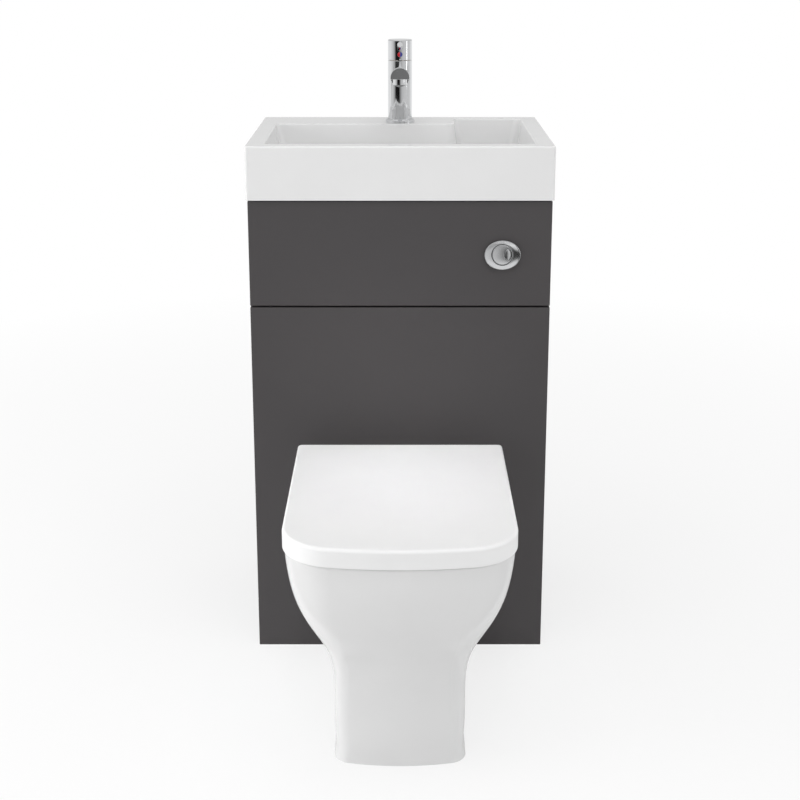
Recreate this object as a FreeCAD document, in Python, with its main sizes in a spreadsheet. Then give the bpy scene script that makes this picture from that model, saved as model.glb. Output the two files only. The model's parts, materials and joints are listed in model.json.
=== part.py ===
import FreeCAD, Part
import math
import os
import Sketcher
from FreeCAD import Placement, Rotation, Vector

# Toilet and vanity combination unit: a slim cabinet with a basin and mixer tap on top, a concealed
# cistern inside, and a back-to-wall toilet pan in front of it.
# Frame: the origin is on the floor at the wall, mid-width. X runs to the right, Y to the wall and Z up,
# so the wall is the plane y = 0 and everything lies at negative y.

document = FreeCAD.newDocument("toilet_and_basin_unit")
sheet = document.addObject("Spreadsheet::Sheet", "sizes")


class Size:
    """A length or an angle, with its number and the sheet formula that it comes from."""

    def __init__(self, number, formula):
        self.number = number
        self.formula = formula

    def __float__(self):
        return float(self.number)

    def __neg__(self):
        return Size(-self.number, f"(0 - {self.formula})")

    def __add__(self, other):
        return joined(self, "+", other)

    def __radd__(self, other):
        return joined(other, "+", self)

    def __sub__(self, other):
        return joined(self, "-", other)

    def __rsub__(self, other):
        return joined(other, "-", self)

    def __mul__(self, other):
        return joined(self, "*", other)

    def __rmul__(self, other):
        return joined(other, "*", self)

    def __truediv__(self, other):
        return joined(self, "/", other)


def formula_of(value):
    return value.formula if isinstance(value, Size) else repr(value)


def joined(left, sign, right):
    a, b = float(left), float(right)
    number = {"+": a + b, "-": a - b, "*": a * b}[sign] if sign != "/" else a / b
    return Size(number, f"({formula_of(left)} {sign} {formula_of(right)})")


def sine(angle):
    return Size(math.sin(math.radians(float(angle))), f"sin({formula_of(angle)})")


def cosine(angle):
    return Size(math.cos(math.radians(float(angle))), f"cos({formula_of(angle)})")


def tangent(angle):
    return Size(math.tan(math.radians(float(angle))), f"tan({formula_of(angle)})")


class Sheet:
    """The driving dimensions as attributes, each one an aliased cell."""


s = Sheet()

# Driving dimensions, in millimetres and degrees

sizes = {
    # cabinet
    "cabinet_width": 494,
    "cabinet_depth": 366,
    "cabinet_height": 793,
    "board": 18,
    "upper_panel_height": 174.5,
    "panel_seam": 3,
    "basin_shadow": 2,
    "back_rail_height": 100,
    "foot_rail_height": 90,
    "plinth_rail_height": 80,
    "middle_rail_height": 60,
    "middle_rail_below_seam": 18.5,
    "front_rail_height": 32,
    "front_rail_drop": 26,
    "shelf_above_inlet": 77,
    "shelf_depth": 160,
    "cut_overrun": 2,
    # cabinet fittings
    "peg_radius": 4,
    "peg_in_panel": 10,
    "peg_in_rail": 14,
    "peg_inset": 47,
    "peg_clearance": 0.1,
    "block_side": 20,
    "block_height": 24,
    "bracket_leg": 38,
    "bracket_height": 30,
    "bracket_gauge": 2,
    "bracket_drop": 248,
    "bracket_hole_radius": 3.5,
    "bracket_screw_radius": 2.4,
    "bracket_head_radius": 4.5,
    "bracket_head_height": 3,
    "wall_hole_radius": 4,
    "wall_hole_spacing": 300,
    # basin
    "basin_side_overhang": 3,
    "basin_front_overhang": 4,
    "basin_height": 88,
    "basin_corner": 5,
    "basin_edge": 3,
    "basin_wall": 12,
    "side_rim": 29.5,
    "front_rim": 28,
    "deck_depth": 98,
    "rear_rim": 26,
    "deck_end": 97,
    "bowl_depth": 100,
    "bowl_wall": 10,
    "bowl_draft": 13,
    "bowl_corner": 8,
    "bowl_floor_corner": 24,
    "bowl_floor_round": 16,
    "bowl_lip": 2.5,
    "deck_corner": 15,
    "back_corner": 14,
    "tap_ahead": 68,
    "tap_hole_radius": 17.5,
    "waste_ahead": 205,
    "waste_hole_radius": 22,
    "overflow_drop": 34,
    "overflow_hole_radius": 10,
    "overflow_ring_radius": 14,
    "overflow_ring_gap": 0.2,
    "overflow_ring_height": 3,
    # basin waste and trap
    "waste_flange_radius": 31.5,
    "waste_flange_height": 3,
    "waste_tail_radius": 20.8,
    "waste_tail_bore": 17,
    "waste_tail_length": 80,
    "waste_guide_radius": 7,
    "waste_bridge_width": 5,
    "waste_bridge_drop": 26,
    "waste_bridge_height": 14,
    "plug_radius": 28,
    "plug_edge": 2.5,
    "plug_crown": 3.5,
    "plug_rise": 9,
    "plug_stem_radius": 4,
    "plug_stem_length": 46,
    "running_clearance": 0.06,
    "waste_seal_height": 4,
    "waste_nut_radius": 31,
    "waste_nut_height": 11,
    "trap_radius": 26,
    "trap_wall": 2.5,
    "trap_length": 92,
    "trap_cup_radius": 30,
    "trap_cup_height": 42,
    "trap_nut_radius": 28,
    "trap_nut_height": 24,
    "trap_overlap": 12,
    "trap_outlet_drop": 38,
    "waste_pipe_radius": 16,
    "waste_pipe_wall": 2,
    "waste_pipe_bend": 40,
    "waste_pipe_side_gap": 24,
    "outlet_nut_radius": 21,
    "outlet_nut_length": 20,
    "outlet_nut_start": 30,
    # mixer tap
    "tap_radius": 21.5,
    "tap_height": 110,
    "tap_foot_radius": 26,
    "tap_foot_height": 6.5,
    "tap_foot_clearance": 0.2,
    "tap_tail_bore": 14,
    "tap_web_level": 30,
    "cartridge_bore": 18,
    "cartridge_level": 62,
    "cartridge_clearance": 0.1,
    "cartridge_top": 103,
    "cartridge_recess_radius": 12,
    "cartridge_recess_depth": 5,
    "turret_radius": 12.8,
    "turret_height": 6,
    "turret_clearance": 0.2,
    "turret_slot_width": 9,
    "stem_width": 8,
    "stem_thickness": 6,
    "stem_foot": 101,
    "stem_top": 131,
    "stem_side_clearance": 0.1,
    "handle_pivot_level": 106,
    "pivot_pin_radius": 1.5,
    "handle_gap": 1,
    "handle_height": 35,
    "handle_edge": 1.2,
    "handle_cavity_radius": 18.5,
    "handle_cavity_height": 25,
    "handle_relief_angle": 19,
    "lever_radius": 4.75,
    "lever_length": 45,
    "lever_tilt": 78,
    "lever_level": 132.5,
    "lever_root": 17,
    "lever_edge": 0.8,
    "index_radius": 4.3,
    "index_level": 121.3,
    "index_depth": 1.5,
    "index_proud": 0.6,
    "spout_radius": 16.5,
    "spout_reach": 85,
    "spout_tilt": 85,
    "spout_root_level": 80,
    "spout_flat_level": 86,
    "spout_flat_length": 29,
    "spout_bore": 8,
    "aerator_radius": 12,
    "aerator_height": 10,
    "aerator_thread_radius": 10.5,
    "aerator_thread_height": 6,
    "aerator_inset": 15,
    "aerator_bore": 9,
    "tap_stud_radius": 4,
    "tap_stud_drop": 45,
    "tap_stud_engaged": 12,
    "tap_washer_radius": 17,
    "tap_washer_height": 3,
    "tap_nut_radius": 8,
    "tap_nut_height": 8,
    # cistern
    "tank_side_gap": 49,
    "tank_depth": 130,
    "tank_headroom": 63,
    "tank_back_gap": 22,
    "tank_wall": 4,
    "tank_corner": 22,
    "cover_overhang": 3,
    "cover_height": 8,
    "cover_lip": 5,
    "flush_tail_radius": 24,
    "flush_tail_bore": 19,
    "flush_tail_length": 50,
    "flush_flange_radius": 38,
    "flush_flange_height": 5,
    "flush_cage_radius": 34,
    "flush_cage_wall": 3,
    "flush_cage_height": 150,
    "flush_window_width": 26,
    "flush_window_height": 70,
    "flush_window_sill": 12,
    "plunger_radius": 16,
    "plunger_wall": 2.5,
    "plunger_headroom": 90,
    "plunger_disc_radius": 27,
    "plunger_disc_height": 4,
    "plunger_guide_clearance": 0.4,
    "flush_seal_height": 3,
    "flush_back_nut_radius": 36,
    "flush_back_nut_height": 14,
    "flush_pipe_radius": 21,
    "flush_pipe_wall": 2,
    "flush_pipe_bend": 40,
    "flush_pipe_nut_radius": 30,
    "flush_pipe_nut_height": 26,
    "flush_pipe_nut_overlap": 7,
    "shelf_hole_radius": 41,
    "fill_inset": 45,
    "fill_thread_radius": 11,
    "fill_spigot_radius": 10,
    "fill_spigot_length": 36,
    "fill_tail_bore": 6,
    "fill_tail_length": 62,
    "fill_flange_radius": 17,
    "fill_flange_height": 5,
    "fill_column_radius": 13,
    "fill_headroom": 140,
    "fill_head_radius": 21,
    "fill_head_height": 46,
    "float_radius": 29,
    "float_height": 48,
    "float_gap": 0.5,
    "float_headroom": 7,
    "fill_nut_radius": 18,
    "fill_nut_height": 10,
    "fill_hole_radius": 20,
    # flush button
    "button_inset": 80,
    "button_drop": 90,
    "bezel_half_width": 29.7,
    "bezel_half_height": 24.5,
    "bezel_height": 5.5,
    "bezel_dish": 2.6,
    "bezel_rim": 1.2,
    "bezel_mouth_radius": 18.6,
    "button_radius": 17,
    "button_gap": 0.9,
    "button_edge": 0.9,
    "button_length": 22,
    "button_dish": 1.6,
    "small_button_width": 9.5,
    "small_button_height": 20.6,
    "small_button_offset": 8.6,
    "small_button_proud": 1,
    "small_button_length": 24,
    "sleeve_radius": 21,
    "sleeve_wall": 2.5,
    "sleeve_length": 52,
    "sleeve_floor": 3,
    "sleeve_nut_radius": 29,
    "sleeve_nut_height": 9,
    # toilet pan
    "pan_height": 367,
    "pan_half_width": 165.5,
    "pan_reach": 476,
    "pan_rear_corner": 4,
    "pan_edge": 3,
    "rim_side_width": 53.5,
    "bowl_mouth_back": 158,
    "rim_front_width": 48,
    "bowl_mouth_corner": 68,
    "bowl_mouth_crown": 190,
    "bowl_mouth_rear_corner": 60,
    "sump_level": 70,
    "trap_way_radius": 30,
    "trap_way_dip": 175,
    "trap_way_dip_level": 102,
    "trap_way_weir": 105,
    "trap_way_weir_level": 215,
    "trap_way_fall": 50,
    "trap_way_bend": 36,
    "soil_level": 180,
    "soil_radius": 51,
    "soil_wall": 7,
    "soil_projection": 45,
    "soil_hole_radius": 63,
    "pan_wall": 14,
    "foot_recess_height": 50,
    "foot_side_recess_height": 165,
    "foot_side_recess_wall": 18,
    "foot_side_recess_width": 36,
    "foot_side_recess_back": 14,
    "foot_side_recess_front_wall": 43,
    "deck_side_wall": 25.5,
    "deck_recess_depth": 104,
    "deck_recess_drop": 104,
    "deck_thickness": 16,
    "inlet_drop": 62,
    "inlet_boss_radius": 33,
    "inlet_boss_back": 12,
    "inlet_socket_radius": 26,
    "inlet_socket_depth": 44,
    "inlet_bore": 19,
    "inlet_hole_radius": 30,
    "cone_length": 30,
    "foot_screw_level": 24,
    "foot_screw_behind": 150,
    "foot_screw_radius": 3.5,
    "foot_cap_radius": 7,
    "foot_cap_height": 2.5,
    "foot_bracket_width": 26,
    "foot_bracket_length": 56,
    "foot_bracket_height": 42,
    "foot_bracket_hole_radius": 4,
    "connector_sleeve_radius": 60,
    "connector_sleeve_length": 60,
    "connector_radius": 55,
    "connector_wall": 3,
    "connector_seal_height": 16,
    # seat and lid
    "seat_side_overhang": 2.5,
    "seat_back": 60,
    "seat_front_overhang": 4,
    "seat_gap": 2,
    "seat_thickness": 28,
    "seat_corner": 80,
    "seat_crown": 615,
    "seat_rear_corner": 7,
    "seat_edge": 5,
    "lid_plate": 7,
    "lid_skirt": 5,
    "lid_rear_relief": 6,
    "lid_rear_relief_height": 7,
    "ring_clearance": 2.5,
    "ring_thickness": 19,
    "ring_back": 64,
    "ring_edge": 4,
    "ring_lip": 5,
    "ring_back_lip": 4,
    "ring_front_lip": 10,
    "ring_hole_corner": 64,
    "ring_hole_crown": 190,
    "ring_hole_rear_corner": 58,
    "ring_shell": 5,
    "hinge_ahead": 70,
    "hinge_level": 15,
    "hinge_spacing": 155,
    "hinge_pin_radius": 4,
    "hinge_pin_inner": 52,
    "hinge_pin_outer": 102.5,
    "knuckle_radius": 7,
    "ring_knuckle_length": 16,
    "lid_knuckle_length": 16,
    "hinge_side_gap": 0.8,
    "ring_notch_front": 86,
    "post_radius": 7.5,
    "post_stud_radius": 3.9,
    "post_stud_length": 52,
    "bolt_hole_radius": 6,
    "bolt_seal_height": 3,
    "bolt_seal_radius": 11,
    "bolt_nut_radius": 10,
    "bolt_nut_height": 14,
    "buffer_length": 24,
    "buffer_width": 10,
    "buffer_gap": 0.3,
    "buffer_front": 120,
    "buffer_side_share": 0.8,
}

for row, (alias, value) in enumerate(sizes.items(), 1):
    sheet.set(f"A{row}", alias.replace("_", " "))
    sheet.set(f"B{row}", str(value))
    sheet.setAlias(f"B{row}", alias)
    setattr(s, alias, Size(value, f"sizes.{alias}"))
document.recompute()

# Sizes that follow from the driving ones
basin_top = s.cabinet_height + s.basin_height
basin_width = s.cabinet_width + s.basin_side_overhang * 2
basin_depth = s.cabinet_depth + s.basin_front_overhang
lower_panel_top = s.cabinet_height - s.basin_shadow - s.upper_panel_height - s.panel_seam
middle_rail_level = lower_panel_top - s.middle_rail_below_seam
inlet_level = s.pan_height - s.inlet_drop
shelf_level = inlet_level + s.shelf_above_inlet
front_back_face = -(s.cabinet_depth - s.board)
inner_side = s.cabinet_width / 2 - s.board
waste_pipe_offset = inner_side - s.waste_pipe_side_gap
tank_width = (inner_side - s.tank_side_gap) * 2
tank_height = s.cabinet_height - shelf_level - s.board - s.tank_headroom
fill_offset = tank_width / 2 - s.fill_inset
fill_column_height = tank_height - s.fill_headroom
float_level = s.fill_flange_height + fill_column_height - s.float_height - s.float_headroom
plunger_length = tank_height - s.plunger_headroom
button_offset = s.cabinet_width / 2 - s.button_inset
button_level = s.cabinet_height - s.button_drop
bowl_mouth_half_width = s.pan_half_width - s.rim_side_width
bowl_mouth_front = s.pan_reach - s.rim_front_width
seat_half_width = s.pan_half_width + s.seat_side_overhang
seat_front = s.pan_reach + s.seat_front_overhang

# Directions: each turn takes the +Z axis of a primitive to the direction in its name
UPRIGHT = Rotation()
TO_WALL = Rotation(Vector(1, 0, 0), -90)
TO_FRONT = Rotation(Vector(1, 0, 0), 90)
TO_RIGHT = Rotation(Vector(0, 1, 0), 90)
DOWNWARD = Rotation(Vector(1, 0, 0), 180)

nodes = []


def bind(piece, path, size):
    if isinstance(size, Size):
        piece.setExpression(path, size.formula)


def place(piece, at, turn=UPRIGHT):
    piece.Placement = Placement(Vector(*[float(c) for c in at]), turn)
    for letter, size in zip("xyz", at):
        bind(piece, f"Placement.Base.{letter}", size)
    return piece


def set_length(piece, name, size):
    setattr(piece, name, float(size))
    bind(piece, name, size)


def node(piece, label):
    piece.Label = label
    nodes.append(piece)
    return piece


def block(name, x, y, z):
    """A box; x, y and z each give its low and high end."""
    piece = document.addObject("Part::Box", name)
    for side, (low, high) in zip(("Length", "Width", "Height"), (x, y, z)):
        set_length(piece, side, high - low)
    return place(piece, (x[0], y[0], z[0]))


def rod(name, radius, length, at, turn=UPRIGHT):
    piece = document.addObject("Part::Cylinder", name)
    set_length(piece, "Radius", radius)
    set_length(piece, "Height", length)
    return place(piece, at, turn)


def hexagon(name, radius, height, at, turn=UPRIGHT):
    piece = document.addObject("Part::Prism", name)
    piece.Polygon = 6
    set_length(piece, "Circumradius", radius)
    set_length(piece, "Height", height)
    return place(piece, at, turn)


def fuse(name, *pieces):
    piece = document.addObject("Part::MultiFuse", name)
    piece.Shapes = list(pieces)
    return piece


def cut(name, base, *tools):
    piece = document.addObject("Part::Cut", name)
    piece.Base = base
    piece.Tool = tools[0] if len(tools) == 1 else fuse(f"{name}_tools", *tools)
    return piece


def common(name, first, second):
    piece = document.addObject("Part::Common", name)
    piece.Base = first
    piece.Tool = second
    return piece


def rounded(name, base, radius, chosen):
    """Rounds the edges of a piece that the function chosen accepts."""
    document.recompute()
    piece = document.addObject("Part::Fillet", name)
    piece.Base = base
    edges = enumerate(base.Shape.Edges, 1)
    piece.Edges = [(i, float(radius), float(radius)) for i, edge in edges if chosen(edge)]
    return piece


def at_level(level):
    """Chooses the edges that lie flat at a height."""
    height = float(level)

    def chosen(edge):
        box = edge.BoundBox
        return abs(box.ZMin - height) < box.DiagonalLength / 1e4 and box.ZLength < box.DiagonalLength / 1e4

    return chosen


def line(start, end):
    return Part.LineSegment(Vector(*start, 0), Vector(*end, 0))


def arc(centre, radius, start, end):
    circle = Part.Circle(Vector(*centre, 0), Vector(0, 0, 1), radius)
    return Part.ArcOfCircle(circle, start, end)


def dimension(sketch, kind, *parts):
    """A driving constraint, whose last part is a size."""
    *geometry, size = parts
    index = sketch.addConstraint(Sketcher.Constraint(kind, *geometry, float(size)))
    bind(sketch, f"Constraints[{index}]", size)


def pin_corner(sketch, edge, x, y):
    """Fixes the first point of an edge at x, y."""
    dimension(sketch, "DistanceX", -1, 1, edge, 1, x)
    dimension(sketch, "DistanceY", -1, 1, edge, 1, y)


def draw_corners(sketch, corners):
    places = [(float(x), float(y)) for x, y in corners]
    for start, end in zip(places, places[1:] + places[:1]):
        sketch.addGeometry(line(start, end), False)
    for edge, (x, y) in enumerate(corners):
        sketch.addConstraint(Sketcher.Constraint("Coincident", edge, 2, (edge + 1) % len(corners), 1))
        pin_corner(sketch, edge, x, y)
    return sketch


def flat_sketch(name, level):
    sketch = document.addObject("Sketcher::SketchObject", name)
    return place(sketch, (0, 0, level))


def boxy_outline(name, level, corners):
    """A closed outline of square corners, each given as (x, y, radius), anticlockwise from above."""
    sketch = flat_sketch(name, level)
    count = len(corners)
    points = [Vector(float(x), float(y), 0) for x, y, radius in corners]
    ahead_of = [(points[(i + 1) % count] - points[i]).normalize() for i in range(count)]
    starts, ends, arcs, lefts = [], [], [], []
    for i, (point, corner) in enumerate(zip(points, corners)):
        radius = float(corner[2])
        arriving, leaving = ahead_of[i - 1], ahead_of[i]
        left = arriving.cross(leaving).z > 0
        ends.append(point - arriving * radius)
        starts.append(point + leaving * radius)
        centre = point - arriving * radius + leaving * radius
        first = ends[-1] if left else starts[-1]
        angle = math.atan2(first.y - centre.y, first.x - centre.x)
        arcs.append(arc((centre.x, centre.y), radius, angle, angle + math.pi / 2))
        lefts.append(left)
    for i in range(count):
        end = ends[(i + 1) % count]
        sketch.addGeometry(line((starts[i].x, starts[i].y), (end.x, end.y)), False)
    for piece in arcs:
        sketch.addGeometry(piece, False)
    for i, (x, y, radius) in enumerate(corners):
        arriving, bend = (i - 1) % count, count + i
        entry, leave = (1, 2) if lefts[i] else (2, 1)
        sketch.addConstraint(Sketcher.Constraint("Tangent", arriving, 2, bend, entry))
        sketch.addConstraint(Sketcher.Constraint("Tangent", bend, leave, i, 1))
        along_x = abs(ahead_of[i].x) > abs(ahead_of[i].y)
        sketch.addConstraint(Sketcher.Constraint("Horizontal" if along_x else "Vertical", i))
        dimension(sketch, "DistanceY" if along_x else "DistanceX", -1, 1, i, 1, y if along_x else x)
        dimension(sketch, "Radius", bend, radius)
    return sketch


def seat_outline(name, level, half_width, back, front, corner, crown, rear):
    """A seat's outline: a straight back with small corners, parallel sides, and a crowned front
    that runs through two larger corners. back and front are y values, the rest are positive."""
    sketch = flat_sketch(name, level)
    w, yb, yf = float(half_width), float(back), float(front)
    r, big, q = float(corner), float(crown), float(rear)
    corner_y = yf + big - math.sqrt((big - r) ** 2 - (w - r) ** 2)
    lean = math.atan2(corner_y - (yf + big), w - r)
    edges = [
        arc((0, yf + big), big, -math.pi - lean, lean),
        arc((w - r, corner_y), r, lean, 0),
        line((w, corner_y), (w, yb - q)),
        arc((w - q, yb - q), q, 0, math.pi / 2),
        line((w - q, yb), (q - w, yb)),
        arc((q - w, yb - q), q, math.pi / 2, math.pi),
        line((-w, yb - q), (-w, corner_y)),
        arc((r - w, corner_y), r, math.pi, math.pi - lean),
    ]
    for edge in edges:
        sketch.addGeometry(edge, False)
    for edge in range(len(edges)):
        sketch.addConstraint(Sketcher.Constraint("Tangent", edge, 2, (edge + 1) % len(edges), 1))
    sketch.addConstraint(Sketcher.Constraint("Horizontal", 4))
    sketch.addConstraint(Sketcher.Constraint("Vertical", 2))
    sketch.addConstraint(Sketcher.Constraint("Vertical", 6))
    sketch.addConstraint(Sketcher.Constraint("PointOnObject", 0, 3, -2))
    dimension(sketch, "DistanceX", -1, 1, 2, 1, half_width)
    dimension(sketch, "DistanceX", -1, 1, 6, 1, -half_width)
    dimension(sketch, "DistanceY", -1, 1, 4, 1, back)
    dimension(sketch, "DistanceY", -1, 1, 0, 3, front + crown)
    dimension(sketch, "Radius", 0, crown)
    for edge, radius in ((1, corner), (7, corner), (3, rear), (5, rear)):
        dimension(sketch, "Radius", edge, radius)
    return sketch


def raised(name, outline, height):
    """The solid between an outline and the height above it."""
    piece = document.addObject("Part::Extrusion", name)
    piece.Base = outline
    piece.DirMode = "Normal"
    piece.Solid = True
    set_length(piece, "LengthFwd", height)
    return piece


def lofted(name, outlines, ruled=False):
    piece = document.addObject("Part::Loft", name)
    piece.Sections = outlines
    piece.Solid = True
    piece.Ruled = ruled
    return piece


def turned(name, corners, at, turn=UPRIGHT):
    """A body of revolution; corners are (radius, height along its axis)."""
    body = document.addObject("PartDesign::Body", name)
    sketch = body.newObject("Sketcher::SketchObject", f"{name}_profile")
    plane = [part for part in body.Origin.OriginFeatures if part.Role == "XZ_Plane"][0]
    sketch.AttachmentSupport = [(plane, "")]
    sketch.MapMode = "FlatFace"
    draw_corners(sketch, corners)
    spun = body.newObject("PartDesign::Revolution", f"{name}_spun")
    spun.Profile = sketch
    spun.ReferenceAxis = (sketch, ["V_Axis"])
    spun.Angle = 360
    return place(body, at, turn)


def tube_corners(bore, radius, low, high):
    return [(bore, low), (radius, low), (radius, high), (bore, high)]


def pipe_path(name, points, bend):
    """Straight runs between points, joined by tangent arcs of one radius."""
    places = [Vector(*[float(c) for c in point]) for point in points]
    edges, start = [], places[0]
    for before, point, after in zip(places, places[1:], places[2:]):
        arriving, leaving = (point - before).normalize(), (after - point).normalize()
        half_turn = arriving.getAngle(leaving) / 2
        reach = float(bend) * math.tan(half_turn)
        first, last = point - arriving * reach, point + leaving * reach
        inward = (leaving - arriving).normalize()
        middle = point + inward * float(bend) * (1 / math.cos(half_turn) - 1)
        edges.append(Part.LineSegment(start, first).toShape())
        edges.append(Part.Arc(first, middle, last).toShape())
        start = last
    edges.append(Part.LineSegment(start, places[-1]).toShape())
    path = document.addObject("Part::Feature", name)
    path.Shape = Part.Wire(edges)
    return path


def swept(name, path, radius, at, turn):
    """A round bar along a path, whose section starts at the path's first point."""
    section = document.addObject("Part::Circle", f"{name}_section")
    set_length(section, "Radius", radius)
    place(section, at, turn)
    piece = document.addObject("Part::Sweep", name)
    piece.Sections = [section]
    piece.Spine = (path, [f"Edge{i + 1}" for i in range(len(path.Shape.Edges))])
    piece.Solid = True
    piece.Frenet = False
    return piece


def swept_pipe(name, points, bend, radius, wall, turn):
    path = pipe_path(f"{name}_path", points, bend)
    outside = swept(f"{name}_outside", path, radius, points[0], turn)
    inside = swept(f"{name}_inside", path, radius - wall, points[0], turn)
    return cut(name, outside, inside)


def ahead(distance):
    """The y of a place a distance in front of the cabinet's face."""
    return -(s.cabinet_depth + distance)


# Cabinet carcass: side panels, rails, the shelf under the cistern and the two overlay fronts


def make_carcass():
    half = s.cabinet_width / 2
    depth = (front_back_face, 0)
    between = (-inner_side, inner_side)
    for side, x in (("left", (-half, -inner_side)), ("right", (inner_side, half))):
        node(block(f"side_panel_{side}", x, depth, (0, s.cabinet_height)), f"side_panel_{side}")

    at_back = (-s.board, 0)
    behind_front = (front_back_face, front_back_face + s.board)
    node(block("bottom_rail_back", between, at_back, (0, s.foot_rail_height)), "bottom_rail_back")
    node(plinth_rail(between, behind_front), "bottom_rail_front")
    node(wall_rail(between, at_back), "top_rail_back")
    node(
        pegged_rail("middle_rail", between, behind_front, middle_rail_span(), peg_levels()[1:3]),
        "middle_rail",
    )
    node(
        pegged_rail("top_rail_front", between, behind_front, front_rail_span(), peg_levels()[3:]),
        "top_rail_front",
    )

    shelf = block("shelf_board", between, (-s.shelf_depth, 0), (shelf_level, shelf_level + s.board))
    flush_hole = rod(
        "shelf_flush_hole", s.shelf_hole_radius, s.board * 2, flush_axis(shelf_level - s.board / 2)
    )
    fill_hole = rod(
        "shelf_fill_hole", s.fill_hole_radius, s.board * 2, fill_axis(shelf_level - s.board / 2)
    )
    node(cut("shelf", shelf, flush_hole, fill_hole), "cistern_shelf")


def middle_rail_span():
    return (middle_rail_level, middle_rail_level + s.middle_rail_height)


def front_rail_span():
    high = s.cabinet_height - s.front_rail_drop
    return (high - s.front_rail_height, high)


def peg_levels():
    """Heights of the push-fit pegs: plinth rail, twice in the middle rail, and the top rail."""
    seam = lower_panel_top + s.panel_seam / 2
    low = (middle_rail_level + seam) / 2
    high = (middle_rail_level + s.middle_rail_height + seam) / 2
    return [
        s.plinth_rail_height / 2, low, high, s.cabinet_height - s.front_rail_drop - s.front_rail_height / 2
    ]


def peg_rods(name, levels, extra):
    """Rods for the pegs, or for their holes when extra is the peg clearance."""
    reach = half_span() - s.peg_inset
    start = front_back_face - s.peg_in_panel - extra
    length = s.peg_in_panel + s.peg_in_rail + extra * 2
    return [
        rod(f"{name}_{row}_{column}", s.peg_radius + extra, length, (x, start, level), TO_WALL)
        for row, level in enumerate(levels)
        for column, x in enumerate((-reach, reach))
    ]


def half_span():
    return s.cabinet_width / 2


def pegged_rail(name, x, y, z, levels):
    return cut(
        f"{name}_drilled",
        block(f"{name}_board", x, y, z),
        *peg_rods(f"{name}_hole", levels, s.peg_clearance),
    )


def plinth_rail(x, y):
    return pegged_rail("plinth", x, y, (0, s.plinth_rail_height), peg_levels()[:1])


def wall_rail(x, y):
    level = s.cabinet_height - s.back_rail_height / 2
    board = block("wall_rail_board", x, y, (s.cabinet_height - s.back_rail_height, s.cabinet_height))
    holes = [
        rod(
            f"wall_rail_hole_{i}",
            s.wall_hole_radius,
            s.board * 2,
            (x_hole, -s.board * 3 / 2, level),
            TO_WALL,
        )
        for i, x_hole in enumerate((-s.wall_hole_spacing / 2, s.wall_hole_spacing / 2))
    ]
    return cut("wall_rail", board, *holes)


def make_fronts():
    half = s.cabinet_width / 2
    face = (-s.cabinet_depth, front_back_face)
    lower = block("lower_front_board", (-half, half), face, (0, lower_panel_top))
    start = -s.cabinet_depth - s.board / 2
    soil = rod("lower_front_soil_hole", s.soil_hole_radius, s.board * 2, (0, start, s.soil_level), TO_WALL)
    inlet = rod(
        "lower_front_inlet_hole", s.inlet_hole_radius, s.board * 2, (0, start, inlet_level), TO_WALL
    )
    lower_pegs = peg_rods("lower_front_peg_hole", peg_levels()[:2], s.peg_clearance)
    node(cut("lower_front", lower, soil, inlet, *lower_pegs), "lower_front_panel")

    low = lower_panel_top + s.panel_seam
    upper = block("upper_front_board", (-half, half), face, (low, s.cabinet_height - s.basin_shadow))
    centre = (button_offset, start, button_level)
    button = rod("upper_front_button_hole", s.sleeve_radius + s.peg_clearance, s.board * 2, centre, TO_WALL)
    upper_pegs = peg_rods("upper_front_peg_hole", peg_levels()[2:], s.peg_clearance)
    node(cut("upper_front", upper, button, *upper_pegs), "upper_front_panel")
    node(fuse("panel_pegs", *peg_rods("panel_peg", peg_levels(), 0 * s.peg_clearance)), "front_panel_pegs")


def make_cabinet_fittings():
    blocks = []
    inside, side = inner_side, s.block_side
    shelf = (shelf_level - s.block_height, shelf_level)
    above_foot = (0, s.block_height)
    behind_plinth = front_back_face + s.board
    places = [
        ((-s.shelf_depth, -s.shelf_depth + side), shelf),
        ((-s.board - side, -s.board), shelf),
        ((-s.board - side, -s.board), above_foot),
        ((behind_plinth, behind_plinth + side), above_foot),
        ((behind_plinth, behind_plinth + side), middle_rail_span()),
        ((behind_plinth, behind_plinth + side), front_rail_span()),
    ]
    for i, (y, z) in enumerate(places):
        blocks.append(block(f"block_left_{i}", (-inside, side - inside), y, z))
        blocks.append(block(f"block_right_{i}", (inside - side, inside), y, z))
    node(fuse("blocks", *blocks), "corner_blocks")

    brackets, screws = [], []
    bracket_level = s.cabinet_height - s.bracket_drop
    z = (bracket_level, bracket_level + s.bracket_height)
    middle = bracket_level + s.bracket_height / 2
    leg_middle = (s.bracket_leg + s.bracket_gauge) / 2
    for name, sign in (("left", -1), ("right", 1)):
        far, near = inside * sign, (inside - s.bracket_leg) * sign
        thin = (inside - s.bracket_gauge) * sign
        wall_x = (far, near) if sign < 0 else (near, far)
        side_x = (far, thin) if sign < 0 else (thin, far)
        legs = fuse(
            f"bracket_{name}_legs",
            block(f"bracket_{name}_wall_leg", wall_x, (-s.bracket_gauge, 0), z),
            block(f"bracket_{name}_side_leg", side_x, (-s.bracket_leg, 0), z),
        )
        hole_x = (inside - leg_middle) * sign
        start = -s.bracket_gauge - s.cut_overrun
        hole_length = s.bracket_gauge + s.cut_overrun * 2
        wall_hole = rod(
            f"bracket_{name}_wall_hole",
            s.bracket_hole_radius,
            hole_length,
            (hole_x, start, middle),
            TO_WALL,
        )
        shank = bracket_screw(f"bracket_{name}_screw", sign, -leg_middle, middle)
        screws.append(shank)
        screw_hole_x = inside - s.bracket_gauge - s.cut_overrun if sign > 0 else -inside - s.cut_overrun
        screw_hole = rod(
            f"bracket_{name}_screw_hole",
            s.bracket_screw_radius,
            s.bracket_gauge + s.cut_overrun * 2,
            (screw_hole_x, -leg_middle, middle),
            TO_RIGHT,
        )
        brackets.append(cut(f"bracket_{name}", legs, wall_hole, screw_hole))
    node(fuse("brackets", *brackets, *screws), "wall_brackets")


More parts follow.
